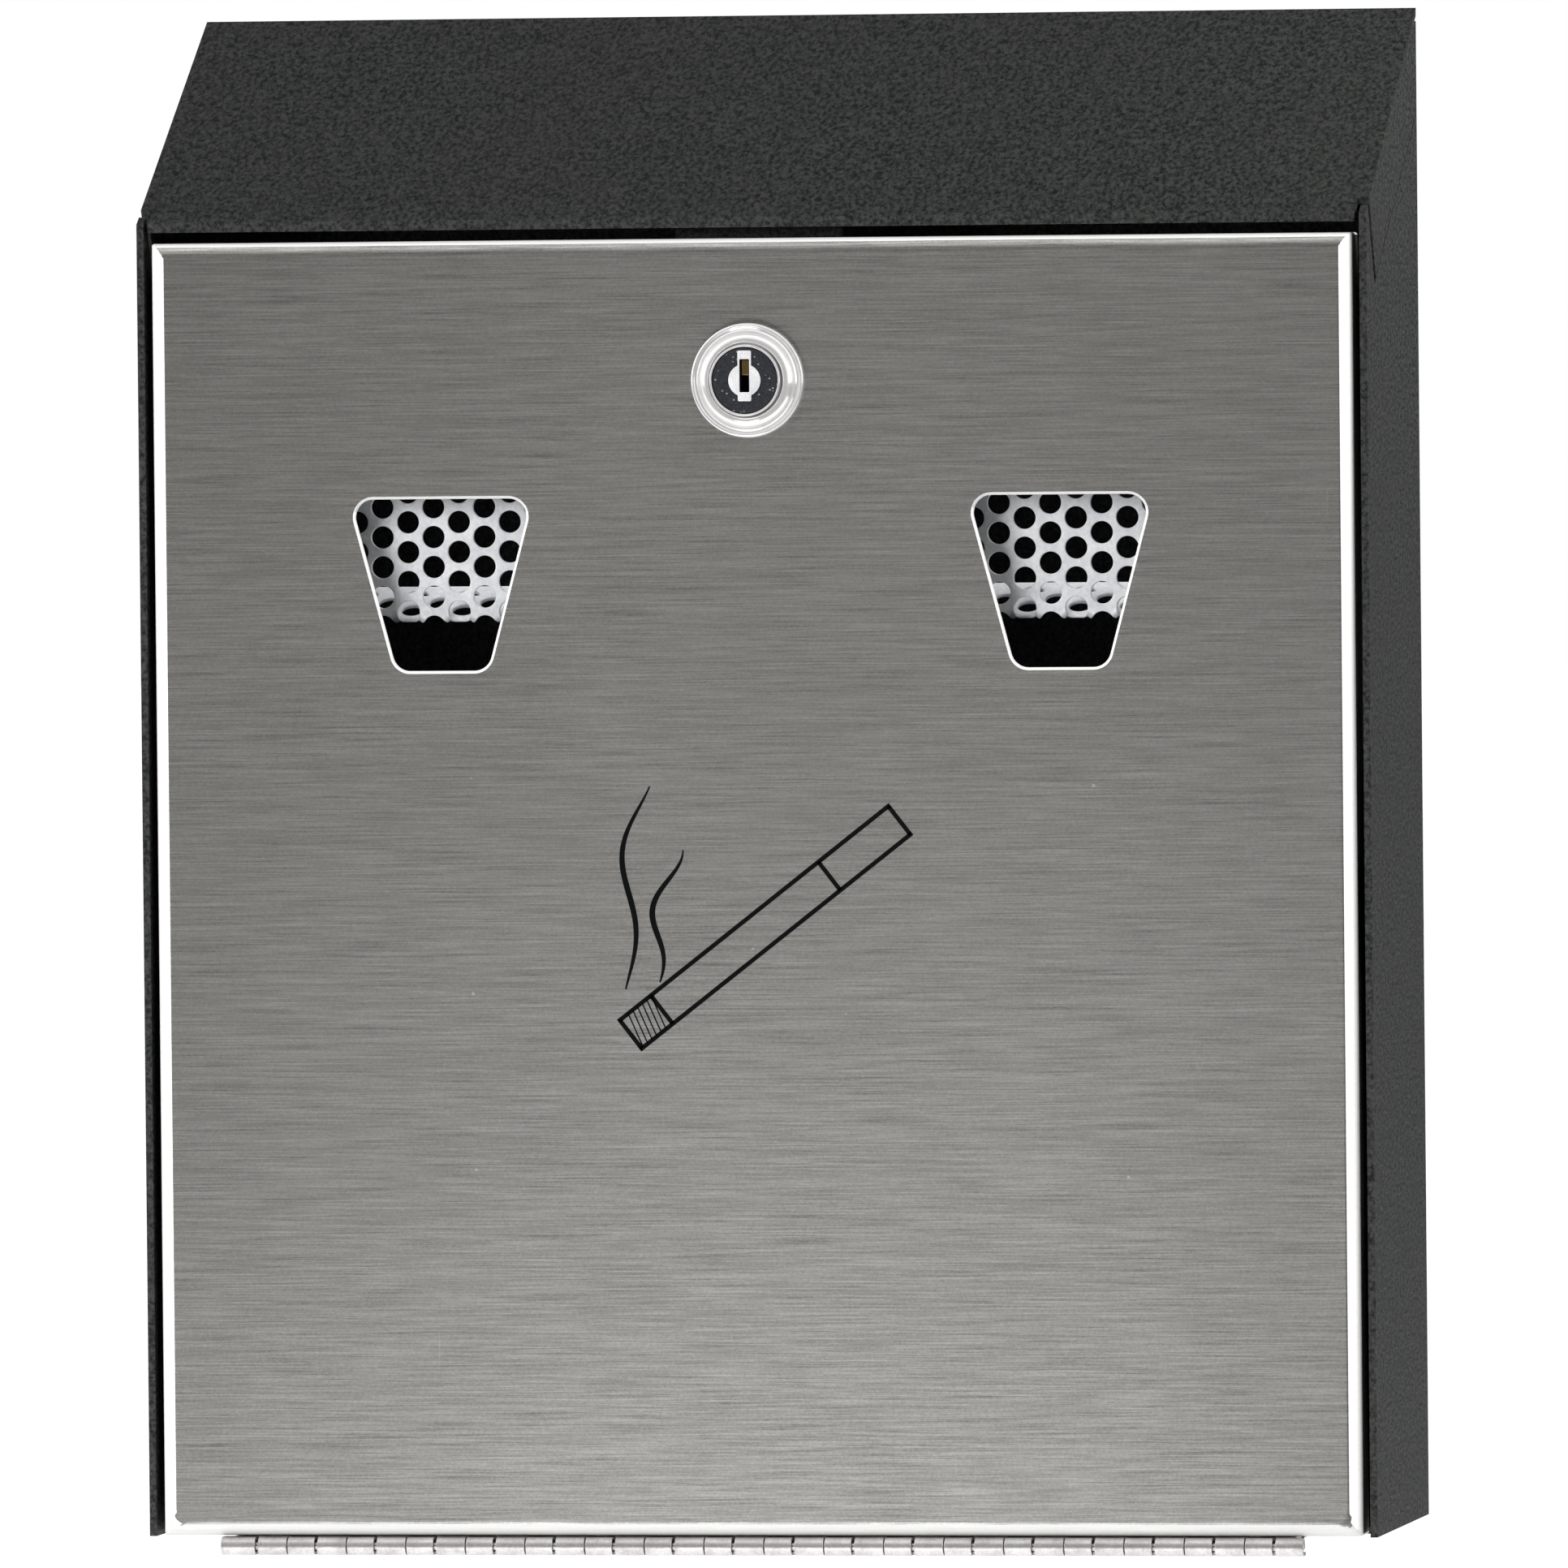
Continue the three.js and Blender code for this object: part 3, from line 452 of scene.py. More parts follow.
def between(a, b, c, d, t):
    """The Catmull-Rom value between b and c, at t from 0 to 1."""
    square = 2 * a - 5 * b + 4 * c - d
    cube = 3 * b - a - 3 * c + d
    return 0.5 * (2 * b + (c - a) * t + square * t * t + cube * t ** 3)


def smooth_curve(points, steps=6):
    """A Catmull-Rom curve through the points."""
    made = []
    ends = [points[0]] + list(points) + [points[-1]]
    for p0, p1, p2, p3 in zip(ends, ends[1:], ends[2:], ends[3:]):
        for k in range(steps):
            t = k / steps
            made.append(tuple(between(*values, t) for values in zip(p0, p1, p2, p3)))
    return made + [tuple(points[-1])]


def arc(a, b, radius, first, last, steps):
    """Points on an arc, angles in degrees."""
    angles = [math.radians(first + (last - first) * k / steps) for k in range(steps + 1)]
    return [(a + radius * math.cos(t), b + radius * math.sin(t)) for t in angles]


def ribbon(path, thickness):
    """The outline of a sheet of this thickness whose middle follows an open path."""
    left, right = [], []
    for i, here in enumerate(path):
        back = Vector(path[max(i - 1, 0)])
        ahead = Vector(path[min(i + 1, len(path) - 1)])
        run = (ahead - back).normalized()
        side = Vector((-run.y, run.x)) * thickness / 2
        left.append(tuple(Vector(here) + side))
        right.append(tuple(Vector(here) - side))
    return left + right[::-1]


def filleted(corners, radius, steps=6):
    """An open path through the corners, with each inner corner turned on a radius."""
    path = [tuple(corners[0])]
    for before, here, after in zip(corners, corners[1:], corners[2:]):
        here = Vector(here)
        one = (Vector(before) - here).normalized()
        two = (Vector(after) - here).normalized()
        half = one.angle(two) / 2
        centre = here + (one + two).normalized() * radius / math.sin(half)
        start = here + one * radius / math.tan(half) - centre
        sweep = start.angle_signed(here + two * radius / math.tan(half) - centre)
        for k in range(steps + 1):
            turn = -sweep * k / steps
            spun = Vector((
                start.x * math.cos(turn) - start.y * math.sin(turn),
                start.x * math.sin(turn) + start.y * math.cos(turn),
            ))
            path.append(tuple(centre + spun))
    return path + [tuple(corners[-1])]


# ---------------------------------------------------------------- pieces

def finish_normals(obj, sharp):
    obj.data.shade_smooth()
    obj.data.set_sharp_from_angle(angle=math.radians(sharp))
    weighted = obj.modifiers.new("weighted", "WEIGHTED_NORMAL")
    weighted.keep_sharp = True
    weighted.weight = 100


def piece(name, solid, look, body, stands_for=(), sharp=50):
    mesh = bpy.data.meshes.new(name)
    points = [Vector((x, y, z + BASE_Z)) * MM for x, y, z in solid.points]
    mesh.from_pydata(points, [], solid.polys)
    bm = bmesh.new()
    bm.from_mesh(mesh)
    bmesh.ops.remove_doubles(bm, verts=bm.verts, dist=WELD)
    bmesh.ops.recalc_face_normals(bm, faces=bm.faces)
    bm.to_mesh(mesh)
    bm.free()
    obj = bpy.data.objects.new(name, mesh)
    bpy.context.scene.collection.objects.link(obj)
    mesh.materials.append(look)
    finish_normals(obj, sharp)
    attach(obj, body)
    if stands_for:
        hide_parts(*stands_for)
    return obj


def dress_node(name, look, edge):
    """A CAD node kept as it is, with its edges eased and a finished material."""
    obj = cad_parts[name]
    obj.data.materials.clear()
    obj.data.materials.append(look)
    bevel = obj.modifiers.new("eased", "BEVEL")
    bevel.width = edge * MM
    bevel.segments = 3
    bevel.limit_method = "ANGLE"
    bevel.angle_limit = math.radians(28)
    bevel.use_clamp_overlap = True
    bevel.loop_slide = False
    weighted = obj.modifiers.new("weighted", "WEIGHTED_NORMAL")
    weighted.weight = 100


def door_outline(inset):
    """The door's outline inset from its edge. The flat face has round corners below, mitred ones above."""
    share = inset / BEND
    low_radius = 0.6 + share * 2.1
    high_radius = 0.5 - share * 0.3
    half, low, high = DOOR_HALF - inset, DOOR_LOW + inset, DOOR_HIGH - inset
    corners = [(-half, low), (half, low), (half, high), (-half, high)]
    return rounded(corners, [low_radius, low_radius, high_radius, high_radius], 6)


def aperture_outline(x):
    return rounded([(x + a, b) for a, b in APERTURE], APERTURE_CORNER, 10)


def door_highlight_index(face):
    """The number of a face's material: 0 brushed steel, 1 the painted highlight on the bends and aperture
    edges, 2 the dimmer painted highlight on the bottom bend.
    """
    x, y, z = face.normal
    # Downward-facing bottom bend: the dimmer painted highlight.
    if -0.999 < z < -0.2:
        return 2
    # Bends facing up and sideways, and the eased aperture edges, get the painted highlight.
    bend_highlight = 0.7 < z < 0.999 or -0.999 < x < -0.05 or 0.22 < x < 0.999
    by_aperture = abs(face.center.z / MM - BASE_Z - APERTURE_MIDDLE_Z) < 25
    edge_highlight = -0.98 < y < -0.3 and by_aperture
    return 1 if bend_highlight or edge_highlight else 0


def door_panel():
    """A pan of thin sheet: a flat face, bends all round and a flange, with punched and eased holes."""
    made = Solid()
    holes = [aperture_outline(-APERTURE_X), aperture_outline(APERTURE_X)]
    holes.append(circle(0, LOCK_Z, LOCK_HOLE_RADIUS, 64))
    bend_steps = 10
    turns = [math.pi / 2 * k / bend_steps for k in range(bend_steps + 1)]
    inner = BEND - DOOR_SHEET
    lip = DOOR_SHEET / 2
    stations = [(BEND * (1 - math.sin(t)), BEND * (1 - math.cos(t))) for t in turns]
    stations += [(lip * (1 - math.cos(t)), DOOR_DEPTH - lip + lip * math.sin(t)) for t in turns[::3]]
    stations += [(DOOR_SHEET, DOOR_DEPTH - lip)]
    stations += [(BEND - inner * math.sin(t), BEND - inner * math.cos(t)) for t in turns[::-1]]
    rings = []
    for inset, depth in stations:
        loop = door_outline(inset)
        rings.append((loop, made.ring([along_y(a, b, FACE_Y + depth) for a, b in loop])))
    for (_, one), (_, two) in zip(rings, rings[1:]):
        made.wall(one, two)
    front_holes, back_holes = [], []
    for hole in holes:
        steps = [(inset, FACE_Y + depth) for inset, depth in HOLE_EDGE]
        steps += [(inset, DOOR_BACK_Y - depth) for inset, depth in rolled(0.15, 2)[::-1]]
        track = []
        for inset, y in steps:
            loop = grown(hole, inset)
            track.append((loop, made.ring([along_y(a, b, y) for a, b in loop])))
        for (_, one), (_, two) in zip(track, track[1:]):
            made.wall(one, two)
        front_holes.append(track[0])
        back_holes.append(track[-1])
    for edge_ring, hole_rings in ((rings[0], front_holes), (rings[-1], back_holes)):
        faces = [edge_ring] + hole_rings
        made.cap([loop for loop, _ in faces], [ring for _, ring in faces])
    skin = piece("door_skin", made, BRUSHED, "door", ["door_panel"], 60)
    # The bends and aperture edges take near-white copies of the steel: painted highlights.
    skin.data.materials.append(PAINTED_HIGHLIGHT)
    skin.data.materials.append(PAINTED_DIM_HIGHLIGHT)
    for face in skin.data.polygons:
        face.material_index = door_highlight_index(face)


def screen_path():
    """The folded sheet's middle line in (y, z), from the flange's end to the tab's top."""
    half = SCREEN_SHEET / 2
    middle = SCREEN_Y + half
    run, climb = math.cos(FLANGE_RISE) * FLANGE_LENGTH, math.sin(FLANGE_RISE) * FLANGE_LENGTH
    tab = DOOR_BACK_Y + 0.35 + half
    corners = [
        (middle + run - half, FOLD_Z + half + climb), (middle, FOLD_Z + half),
        (middle, SHELF_Z - half), (tab, SHELF_Z - half), (tab, TAB_TOP_Z),
    ]
    return filleted(corners, 1.0, 8)


def snuffer_screen(name, x, node_name):
    """A strip of staggered round-hole sheet, laid out flat cell by cell and folded on screen_path."""
    path = [Vector(p) for p in screen_path()]
    lengths = [0.0]
    for one, two in zip(path, path[1:]):
        lengths.append(lengths[-1] + (two - one).length)
    fold = lengths[4] + (lengths[5] - lengths[4]) / 2

    def folded(v):
        v = min(max(v + fold, 0.0), lengths[-1])
        i = next(k for k in range(1, len(lengths)) if lengths[k] >= v - 1e-9)
        share = (v - lengths[i - 1]) / (lengths[i] - lengths[i - 1])
        return path[i - 1].lerp(path[i], share)

    made = Solid()

    def cell(left, low, hole_centre):
        """Half a pitch of one column, flat or with half a hole in its upper or lower edge."""
        across, up = COLUMN / 6, PITCH / 2 / 3
        if hole_centre is None:
            rows = [[(left + i * across, low + j * up) for i in range(7)] for j in range(4)]
            rings = [made.ring([(x + a, *folded(b)) for a, b in row]) for row in rows]
            for one, two in zip(rings, rings[1:]):
                made.wall(one, two, closed=False)
            return
        cx, cz = left + COLUMN / 2, hole_centre
        rim = [(left, low + j * up) for j in range(4)]
        rim += [(left + i * across, low + 3 * up) for i in range(1, 7)]
        rim += [(left + COLUMN, low + (3 - j) * up) for j in range(1, 4)]
        if cz > low + up:
            rim = [(a, 2 * low + 3 * up - b) for a, b in rim]
        start, end = math.pi, 2 * math.pi if cz > low + up else 0.0
        count = len(rim)
        turns = [start + (end - start) * k / (count - 1) for k in range(count)]
        hole = [(cx + HOLE_RADIUS * math.cos(t), cz + HOLE_RADIUS * math.sin(t)) for t in turns]
        one = made.ring([(x + a, *folded(b)) for a, b in rim])
        two = made.ring([(x + a, *folded(b)) for a, b in hole])
        made.wall(one, two, closed=False)

    columns = 10
    left_edge = FIRST_COLUMN - 2.5 * COLUMN
    half = PITCH / 2
    lowest, highest = -7, 15
    for c in range(columns):
        offset = ROW_Z - FOLD_Z - half * (c % 2)
        for h in range(lowest, highest):
            low = (ROW_Z - FOLD_Z) % half + h * half
            phase = round((low - offset) / half)
            perforated = low > -FLANGE_LENGTH + 2 and low + half < SHELF_Z - FOLD_Z - 1.5
            centre = None
            if perforated:
                centre = low if phase % 2 == 0 else low + half
                other = centre + half if centre > low else centre - half
                room = min(centre, other) - HOLE_RADIUS > -FLANGE_LENGTH + 1.2
                centre = centre if room and centre + HOLE_RADIUS < SHELF_Z - FOLD_Z - 1.2 else None
            cell(left_edge + c * COLUMN, low, centre)
    screen = piece(name, made, BRIGHT_SHEET, "door", [node_name], 40)
    thick = screen.modifiers.new("sheet", "SOLIDIFY")
    thick.thickness = SCREEN_SHEET * MM
    thick.offset = 0
    thick.use_even_offset = True
    edges = screen.modifiers.new("punched", "BEVEL")
    edges.width = 0.26 * MM
    edges.segments = 2
    edges.limit_method = "ANGLE"
    edges.angle_limit = math.radians(55)
    screen.modifiers.move(0, 2)


def hex_nut(x, z, across, near, far, bore):
    """A hexagon nut along Y whose corners are chamfered."""
    flats = circle(x, z, across / math.sqrt(3), 6, math.pi / 6)
    outline = rounded(counter_clockwise(flats), across * 0.06, 3)
    return prism(outline, near, far, along_y, [circle(x, z, bore, 32)], across * 0.05, 0.2)


def threaded(x, z, radius, near, far, pitch):
    """A stud along Y with thread ridges and a rounded tip."""
    profile = [(0, near), (radius, near)]
    y = near + pitch
    while y < far - pitch:
        profile += [(radius, y), (radius * 0.86, y + pitch / 2)]
        y += pitch
    profile += [(radius * 0.9, y), (radius * 0.7, far), (0, far)]
    return lathe(profile, x, z, along_y, 24)


def screen_fixings():
    """Four weld studs on the door's back, each with the nut that holds a screen's tab."""
    number = 1
    nut_y = DOOR_BACK_Y + 0.35 + SCREEN_SHEET + 0.15
    for middle in (-APERTURE_X, APERTURE_X):
        for x in (middle - STUD_X, middle + STUD_X):
            stud = threaded(x, STUD_Z, STUD_RADIUS, DOOR_BACK_Y + 0.02, DOOR_BACK_Y + STUD_LENGTH, 0.5)
            piece(f"weld_stud_{number}", stud, STUD_STEEL, "door", [f"screen_stud_{number}"], 30)
            nut = hex_nut(x, STUD_Z, STUD_NUT_ACROSS, nut_y, nut_y + STUD_NUT_HEIGHT, STUD_RADIUS + 0.05)
            piece(f"stud_nut_{number}", nut, ZINC, "door", [f"screen_nut_{number}"], 40)
            number += 1


def rivet_shape(x, y, low, high):
    """A rivet along Z with a low domed head at each end."""
    turns = [math.pi / 2 * k / 8 for k in range(9)]
    dome = [(RIVET_HEAD * math.cos(t), RIVET_CROWN * math.sin(t)) for t in turns]
    profile = [(r, low - 0.05 - h) for r, h in dome[::-1]]
    profile += [(RIVET_RADIUS, low - 0.05), (RIVET_RADIUS, high + 0.05)]
    profile += [(r, high + 0.05 + h) for r, h in dome]
    return lathe(profile, x, y, along_z, 40)


def stretches(owner):
    """The stretches of the barrel that belong to one leaf: 0 the door's, which have play, 1 the body's."""
    made = []
    x0, x1, turn = -HINGE_HALF, -HINGE_HALF + FIRST_KNUCKLE, 0
    while x0 < HINGE_HALF:
        if turn % 2 == owner:
            play = KNUCKLE_EASE if owner else KNUCKLE_PLAY
            made.append((x0 + KNUCKLE_EASE, min(x1, HINGE_HALF) - play))
        x0, x1, turn = x1, x1 + KNUCKLE, turn + 1
    return made


def hinge():
    """Continuous hinge: each leaf's sheet is rolled round the pin, knuckle by knuckle."""
    middle = BARREL - HINGE_SHEET / 2
    clear_y = AXIS_Y + BARREL + 0.55
    top, bottom = AXIS_Z + middle, AXIS_Z - middle
    under = -0.3 - HINGE_SHEET / 2
    door_curl = [(clear_y + 0.3, top)] + arc(AXIS_Y, AXIS_Z, middle, 90, 372, 26)
    body_curl = [(clear_y + 0.3, bottom)] + arc(AXIS_Y, AXIS_Z, middle, 270, -12, 26)
    door_strip = [(clear_y, top), (FACE_Y + 12.9, top)]
    body_strip = filleted([(clear_y, bottom), (-66.3, bottom), (-63.6, under), (-45, under)], 1.2, 4)
    sheets = (("door", 0, door_curl, door_strip), ("body", 1, body_curl, body_strip))
    reach = HINGE_HALF - LEAF_SHORT
    for side, owner, curl, strip in sheets:
        leaf = prism(ribbon(strip, HINGE_SHEET), -reach, reach, along_x, edge=0.12)
        for x0, x1 in stretches(owner):
            leaf.add(prism(ribbon(curl, HINGE_SHEET), x0, x1, along_x, edge=0.12))
        body = "door" if side == "door" else "housing"
        piece(f"rolled_{side}_leaf", leaf, HINGE_STEEL, body, [f"hinge_{side}_leaf"], 40)
    pin = [(0, -HINGE_HALF), (PIN_RADIUS - PIN_TIP, -HINGE_HALF), (PIN_RADIUS, -HINGE_HALF + PIN_TIP)]
    pin += [(r, -x) for r, x in pin[::-1]]
    piece("pin", lathe(pin, AXIS_Y, AXIS_Z, along_x, 24), STUD_STEEL, "housing", ["hinge_pin"], 30)
    for i, x in enumerate(RIVET_XS, 1):
        door_rivet = rivet_shape(x, DOOR_RIVET_Y, top - HINGE_SHEET / 2, DOOR_LOW + DOOR_SHEET)
        piece(f"rivet_door_{i}", door_rivet, ZINC, "door", [f"door_rivet_{i}"], 40)
        body_rivet = rivet_shape(x, BODY_RIVET_Y, under - HINGE_SHEET / 2, 1.5)
        piece(f"rivet_body_{i}", body_rivet, ZINC, "housing", [f"body_rivet_{i}"], 40)


def lock():
    """Cam lock: chrome face ring, threaded barrel, washer and nut; the core turns inside."""
    front = smooth_curve([
        (7.95, -2.95), (8.1, -3.2), (8.6, -3.25), (9.3, -2.95), (9.9, -2.35), (10.35, -1.65),
        (10.75, -1.3), (11.1, -1.35), (11.55, -1.55), (11.95, -1.35), (12.1, -0.8), (12.1, -0.25),
    ])
    sleeve = [
        (7.1, -1.0), (7.1, -4.3), (7.14, -4.38), (7.22, -4.42), (7.42, -4.42),
        (7.52, -4.36), (7.56, -4.25), (7.56, -1.9), (7.85, -1.9),
    ]
    profile = [(r, FACE_Y + d) for r, d in sleeve + front] + [(11.9, FACE_Y - 0.05), (7.1, FACE_Y - 0.05)]
    piece("lock_bezel", lathe(profile, 0, LOCK_Z, along_y, 96), CHROME, "door", ["lock_face_ring"], 60)
    barrel = [(BARREL_BORE, FACE_Y + 0.1), (9.1, FACE_Y + 0.1), (BARREL_THREAD, FACE_Y + 0.3)]
    y = FACE_Y + 1.5
    while y < FACE_Y + LOCK_LENGTH - 1.2:
        barrel += [(BARREL_THREAD, y), (BARREL_ROOT, y + 0.5)]
        y += 1.0
    barrel += [(9.1, y), (8.9, FACE_Y + LOCK_LENGTH), (BARREL_BORE, FACE_Y + LOCK_LENGTH)]
    piece("threaded_barrel", lathe(barrel, 0, LOCK_Z, along_y, 64), ZINC, "door", ["lock_barrel"], 30)
    washer_y = DOOR_BACK_Y + 0.15
    nut_y = washer_y + WASHER_SHEET + 0.15
    rim, hole = circle(0, LOCK_Z, WASHER_RADIUS, 64), circle(0, LOCK_Z, BACK_NUT_BORE, 64)
    washer = prism(rim, washer_y, washer_y + WASHER_SHEET, along_y, [hole], 0.2)
    piece("back_washer", washer, ZINC, "door", ["lock_washer"], 40)
    nut = hex_nut(0, LOCK_Z, BACK_NUT_ACROSS, nut_y, nut_y + BACK_NUT_HEIGHT, BACK_NUT_BORE)
    piece("back_nut", nut, ZINC, "door", ["lock_nut"], 40)


def box_outline(half, low, high, corner, steps=3):
    return rounded([(-half, low), (half, low), (half, high), (-half, high)], corner, steps)


def slot_outline(grow=0.0):
    return box_outline(KEY_SLOT_HALF + grow, KEY_SLOT_LOW - grow, KEY_SLOT_HIGH + grow, 0.2)


def keyway_outline():
    """A disc with a tab above and below, as one outline."""
    half, low, high = KEYWAY_TAB_HALF, KEYWAY_LOW, KEYWAY_HIGH
    lean = math.degrees(math.acos(half / KEYWAY_RADIUS))
    right = arc(0, LOCK_Z, KEYWAY_RADIUS, -lean, lean, 20)
    left = arc(0, LOCK_Z, KEYWAY_RADIUS, 180 - lean, 180 + lean, 20)
    above = rounded([(half, high - 1), (half, high), (-half, high), (-half, high - 1)], 0.3, 4)
    below = rounded([(-half, low + 1), (-half, low), (half, low), (half, low + 1)], 0.3, 4)
    return right + above[5:15] + left + below[5:15]


def lock_core():
    """Plug with its keyway insert and a wafer in the slot; cam and cam screw at the back."""
    made = Solid()
    shoulder = FACE_Y + LOCK_LENGTH + 0.3
    outer = circle(0, LOCK_Z, PLUG_RADIUS, 96)
    slot = slot_outline(0.02)
    rings = []
    for inset, depth in rolled(0.35, 4):
        loop = grown(outer, -inset)
        rings.append((loop, made.ring([along_y(a, b, PLUG_Y + depth) for a, b in loop])))
    back = made.ring([along_y(a, b, shoulder) for a, b in outer])
    for (_, one), (_, two) in zip(rings, rings[1:]):
        made.wall(one, two)
    made.wall(rings[-1][1], back)
    made.cap([outer], [back])
    mouth = made.ring([along_y(a, b, PLUG_Y) for a, b in slot])
    floor = made.ring([along_y(a, b, PLUG_Y + KEY_SLOT_DEPTH) for a, b in slot])
    made.wall(mouth, floor)
    made.cap([slot], [floor])
    made.cap([rings[0][0], slot], [rings[0][1], mouth])
    tail = box_outline(TAIL_HALF, LOCK_Z - TAIL_HALF, LOCK_Z + TAIL_HALF, 0.3)
    made.add(prism(tail, shoulder - 0.4, CAM_Y + CAM_SHEET - 0.3, along_y, edge=0.15))
    piece("plug", made, PLUG, "lock_core", ["lock_plug"], 40)
    insert = prism(keyway_outline(), PLUG_Y - 0.45, PLUG_Y - 0.03, along_y, [slot_outline()], 0.14, 0.1)
    piece("keyway_plate", insert, NICKEL, "lock_core", ["keyway_insert"], 45)
    wafer = box_outline(WAFER_HALF, WAFER_LOW, WAFER_HIGH, 0.15)
    wafer = prism(wafer, PLUG_Y + 0.9, PLUG_Y + 1.8, along_y, edge=0.12)
    piece("wafer", wafer, BRASS, "lock_core", ["lock_wafer"], 40)
    low, high = LOCK_Z - CAM_HALF, LOCK_Z + CAM_HALF
    cam_corners = [(-CAM_LENGTH, low), (CAM_HALF, low), (CAM_HALF, high), (-CAM_LENGTH, high)]
    eye_half = TAIL_HALF + 0.2
    eye = box_outline(eye_half, LOCK_Z - eye_half, LOCK_Z + eye_half, 0.3)
    cam = prism(rounded(cam_corners, 6.0, 12), CAM_Y, CAM_Y + CAM_SHEET, along_y, [eye], 0.25)
    piece("cam", cam, STUD_STEEL, "lock_core", ["lock_cam"], 40)
    head_y = CAM_Y + CAM_SHEET + 0.1
    screw = hex_nut(0, LOCK_Z, 6.9, head_y, head_y + 3, 1.2)
    shank = [(0, head_y + 0.6), (1.15, head_y + 0.6), (1.15, head_y - 3), (0, head_y - 3)]
    screw.add(lathe(shank, 0, LOCK_Z, along_y, 24))
    washer_edge = [(1.3, head_y - 0.05), (3.9, head_y - 0.05), (3.9, head_y + 0.45), (1.3, head_y + 0.45)]
    screw.add(lathe(washer_edge, 0, LOCK_Z, along_y, 40))
    piece("cam_bolt", screw, ZINC, "lock_core", ["cam_screw"], 40)


# ---------------------------------------------------------------- printed sign

def stroke(path, widths, top):
    """A line of ink of varying width on the door's face, as a very thin closed slab."""
    left, right = [], []
    for i, here in enumerate(path):
        run = (Vector(path[min(i + 1, len(path) - 1)]) - Vector(path[max(i - 1, 0)])).normalized()
        side = Vector((-run.y, run.x)) * widths[i] / 2
        left.append(tuple(Vector(here) + side))
        right.append(tuple(Vector(here) - side))
    made = Solid()
    depths = (top, FACE_Y + 0.02)
    tracks = [made.ring([along_y(a, b, y) for a, b in line]) for line in (left, right) for y in depths]
    left_top, left_low, right_top, right_low = tracks
    made.wall(left_top, right_top, closed=False)
    made.wall(left_low, right_low, closed=False)
    made.wall(left_top, left_low, closed=False)
    made.wall(right_top, right_low, closed=False)
    for end in (0, -1):
        made.polys.append([left_top[end], right_top[end], right_low[end], left_low[end]])
    return made


def sign():
    """A plain cigarette sign: a tilted outline with a filter band, a hatched ember and wavy smoke."""
    top = FACE_Y - 0.03
    line = 0.95
    start, end, half = Vector((-26.5, 106.5)), Vector((31.5, 151.5)), 3.8
    along = (end - start).normalized()
    side = Vector((-along.y, along.x))
    length = (end - start).length
    made = Solid()

    def at(distance, offset):
        return tuple(start + along * distance + side * offset)

    def straight(one, two, width=line):
        made.add(stroke([one, two], [width, width], top))

    over = line / 2
    for offset in (-half, half):
        straight(at(-over, offset), at(length + over, offset))
    for distance in (0, 8.5, length * 0.74, length):
        straight(at(distance, -half), at(distance, half))
    for k in range(6):
        distance = 0.4 + k * 1.25
        straight(at(distance, -half), at(distance + 1.9, half), 0.3)
    for phase, base, height in ((0.0, (-27.5, 116.0), 43.0), (0.9, (-21.0, 117.5), 28.0)):
        steps = 40
        path, widths = [], []
        for k in range(steps + 1):
            t = k / steps
            sway = 3.2 * (0.35 + 0.65 * t) * math.sin(phase + t * 2 * math.pi * 1.15)
            path.append((base[0] + sway + 3.0 * t, base[1] + height * t))
            widths.append(0.35 + 0.9 * math.sin(math.pi * min(t * 1.02, 1.0)) ** 0.8)
        made.add(stroke(path, widths, top))
    piece("sign_ink", made, INK, "door", (), 40)


# ---------------------------------------------------------------- studio

def aim(obj, target):
    obj.rotation_euler = (Vector(target) - obj.location).to_track_quat("-Z", "Y").to_euler()


def softbox(name, place, target, size, power):
    """A rectangular area light that neither the camera nor the metal sees."""
    data = bpy.data.lights.new(name, "AREA")
    data.shape = "RECTANGLE"
    data.size, data.size_y = size
    data.energy = power
    lamp = bpy.data.objects.new(name, data)
    lamp.location = place
    bpy.context.scene.collection.objects.link(lamp)
    aim(lamp, target)
    lamp.visible_camera = False
    lamp.visible_glossy = False
    return lamp


def card(name, place, target, size, power):
    """A pale reflector card: as softbox, but seen in the metal."""
    softbox(name, place, target, size, power).visible_glossy = True


def studio_world():
    """White all round, with a darker studio behind the camera for the metal to reflect."""
    world = bpy.data.worlds.new("studio")
    bpy.context.scene.world = world
    world.use_nodes = True
    tree = world.node_tree
    tree.nodes.clear()
    direction = node(tree, "ShaderNodeTexCoord").outputs["Generated"]
    parts = node(tree, "ShaderNodeSeparateXYZ", {0: direction})
    _, y, z = parts.outputs
    front = spread(tree, maths(tree, "MULTIPLY", y, -1.0), 0.55, 0.85)
    back = spread(tree, y, -0.15, 0.25)
    above = spread(tree, z, 0.30, 0.60)
    tint = blend_colour(tree, above, (1.7, 1.7, 1.7), (1.15, 1.15, 1.15))
    tint = blend_colour(tree, spread(tree, z, -0.02, -0.12), tint, (0.27, 0.27, 0.27))
    tint = blend_colour(tree, back, tint, (0.02, 0.02, 0.02))
    tint = blend_colour(tree, front, tint, (0.107, 0.105, 0.101))
    seen = node(tree, "ShaderNodeBackground", {"Color": (1, 1, 1, 1), "Strength": 1.0})
    lit = node(tree, "ShaderNodeBackground", {"Color": tint, "Strength": 1.0})
    direct = node(tree, "ShaderNodeLightPath").outputs["Is Camera Ray"]
    mixed = node(tree, "ShaderNodeMixShader", {0: direct, 1: lit.outputs[0], 2: seen.outputs[0]})
    node(tree, "ShaderNodeOutputWorld", {0: mixed.outputs[0]})


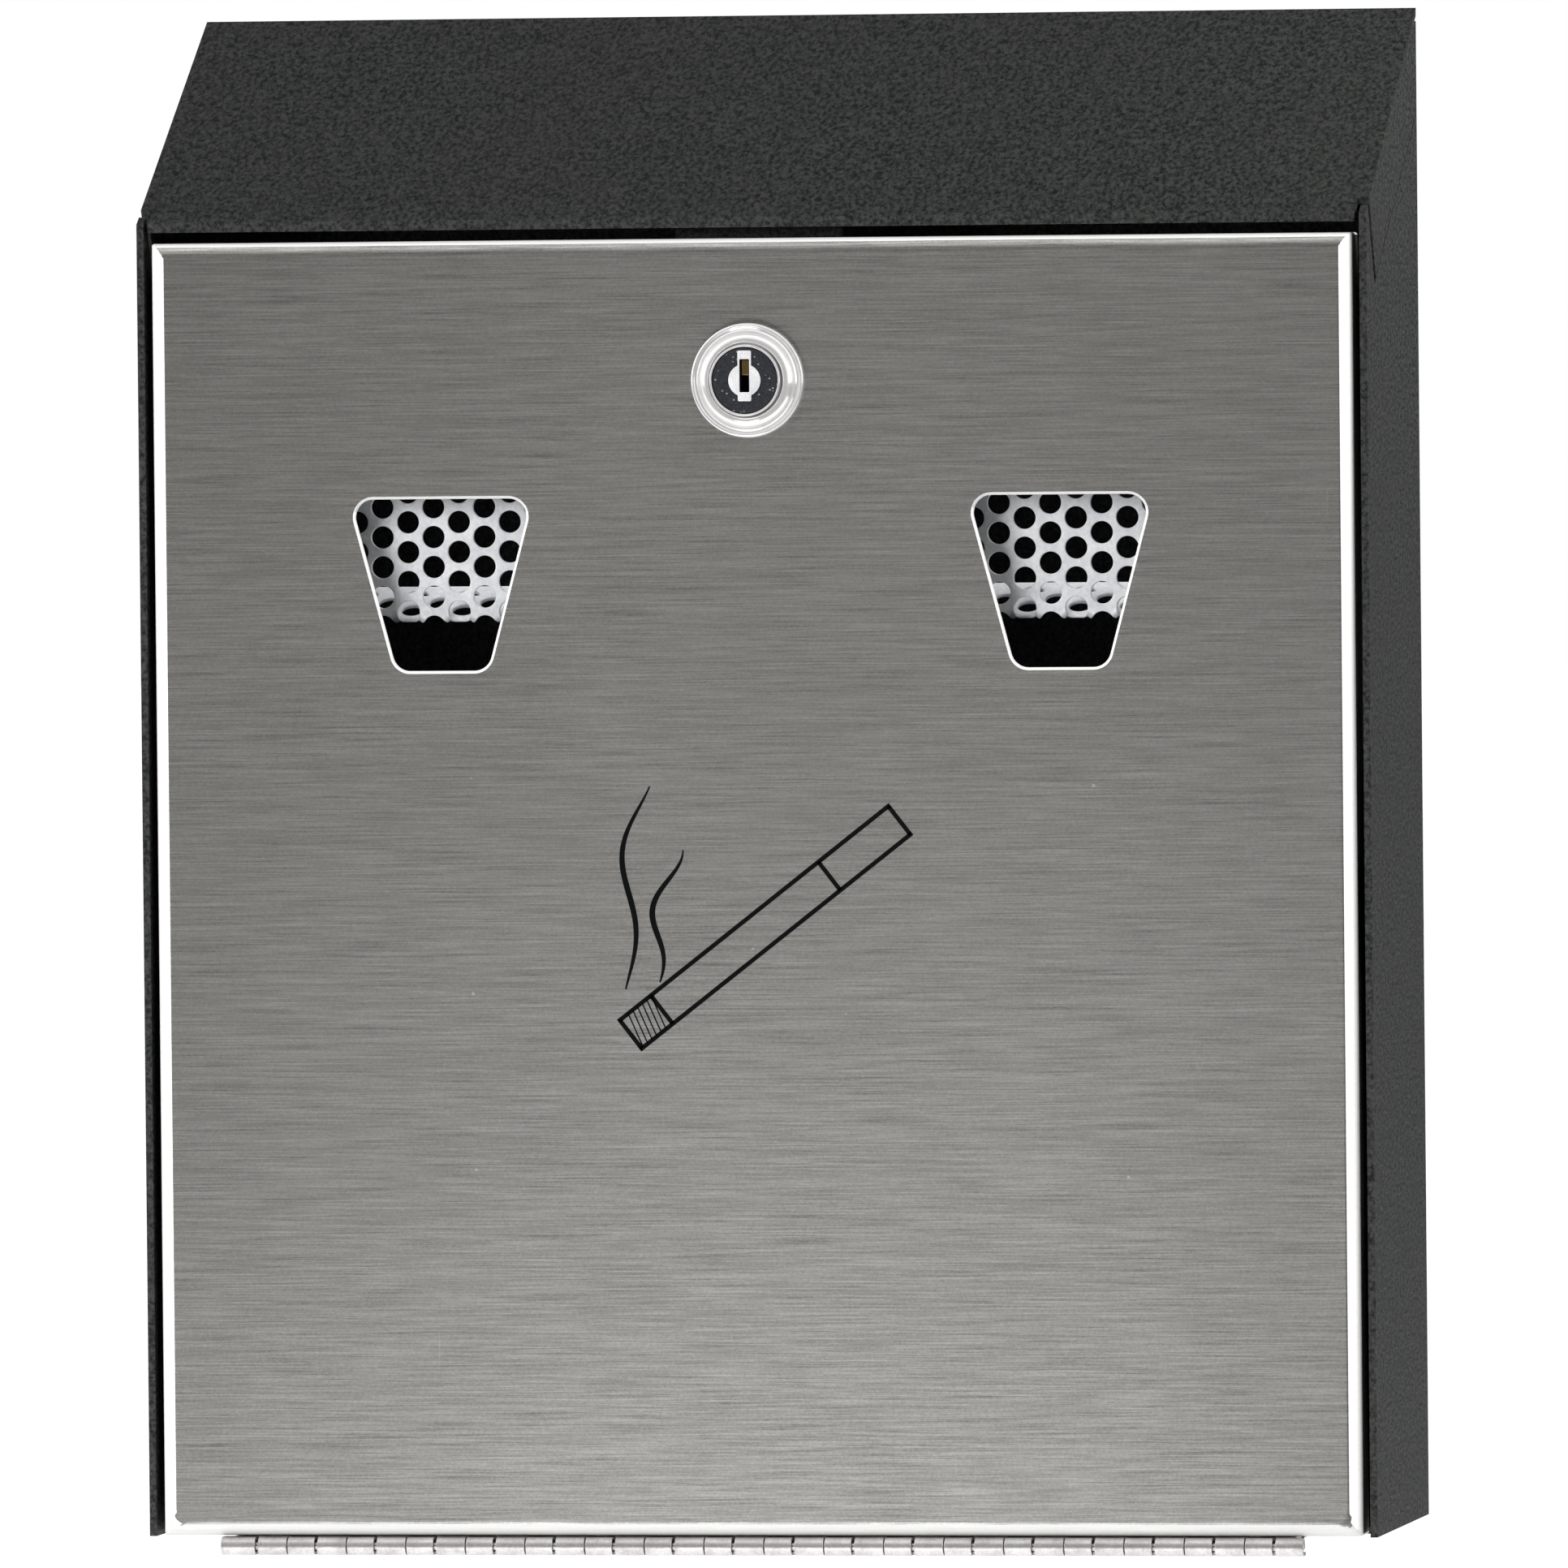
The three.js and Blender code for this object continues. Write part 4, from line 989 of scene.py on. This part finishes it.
def floor():
    """A plain pale floor, low enough for the door to hang fully open above it."""
    mesh = bpy.data.meshes.new("floor")
    reach, near, right, level = 30.0, -0.75, 1.5, -0.62
    corners = [(-reach, near, level), (right, near, level), (right, reach, level), (-reach, reach, level)]
    mesh.from_pydata(corners, [], [(0, 1, 2, 3)])
    obj = bpy.data.objects.new("floor", mesh)
    bpy.context.scene.collection.objects.link(obj)
    made, tree, shader, coords = material(
        "floor_paper", Roughness=0.9, Specular_IOR_Level=0.1,
        Emission_Color=(1, 1, 1, 1), Emission_Strength=0.62,
    )
    tint = blend_colour(tree, noise(tree, coords, (3, 3, 3), 2.0), (0.90, 0.90, 0.90), (0.93, 0.93, 0.93))
    feed(tree, shader, tint)
    mesh.materials.append(made)


def camera():
    data = bpy.data.cameras.new("photo_view")
    data.sensor_width = 36
    data.lens = 462.59
    data.clip_end = 100
    obj = bpy.data.objects.new("photo_view", data)
    obj.location = (0.72724, -4.27175, 0.10858)
    obj.rotation_euler = (1.544811, 0.009634, 0.169948)
    bpy.context.scene.collection.objects.link(obj)
    bpy.context.scene.camera = obj


# ---------------------------------------------------------------- build

for name in ("body_wrap", "top_panel", "bottom_panel", "lock_keeper"):
    dress_node(name, POWDER, 0.5)
dress_node("ash_liner", GALVANISED, 0.25)
door_panel()
snuffer_screen("screen_left", -APERTURE_X, "snuffer_screen_left")
snuffer_screen("screen_right", APERTURE_X, "snuffer_screen_right")
screen_fixings()
hinge()
lock()
lock_core()
sign()

camera()
studio_world()
floor()
card("low_card", (-0.16, -0.95, -0.56), (0, -0.08, -0.10), (0.34, 0.30), 1.15)
for x in (-APERTURE_X, APERTURE_X):
    above, below = ((x * MM, y * MM, (z + BASE_Z) * MM) for y, z in ((-47, 216), (-60, 197)))
    softbox("bounce", above, below, (0.06, 0.02), 0.012)
softbox("shoulder", (0.36, -0.05, 0.22), (0.13, -0.04, 0.12), (0.1, 0.1), 0.85)
softbox("key", (-0.78, -2.0, 0.40), (0, -0.04, 0), (0.8, 0.8), 34)
bpy.context.scene.view_settings.view_transform = "Standard"
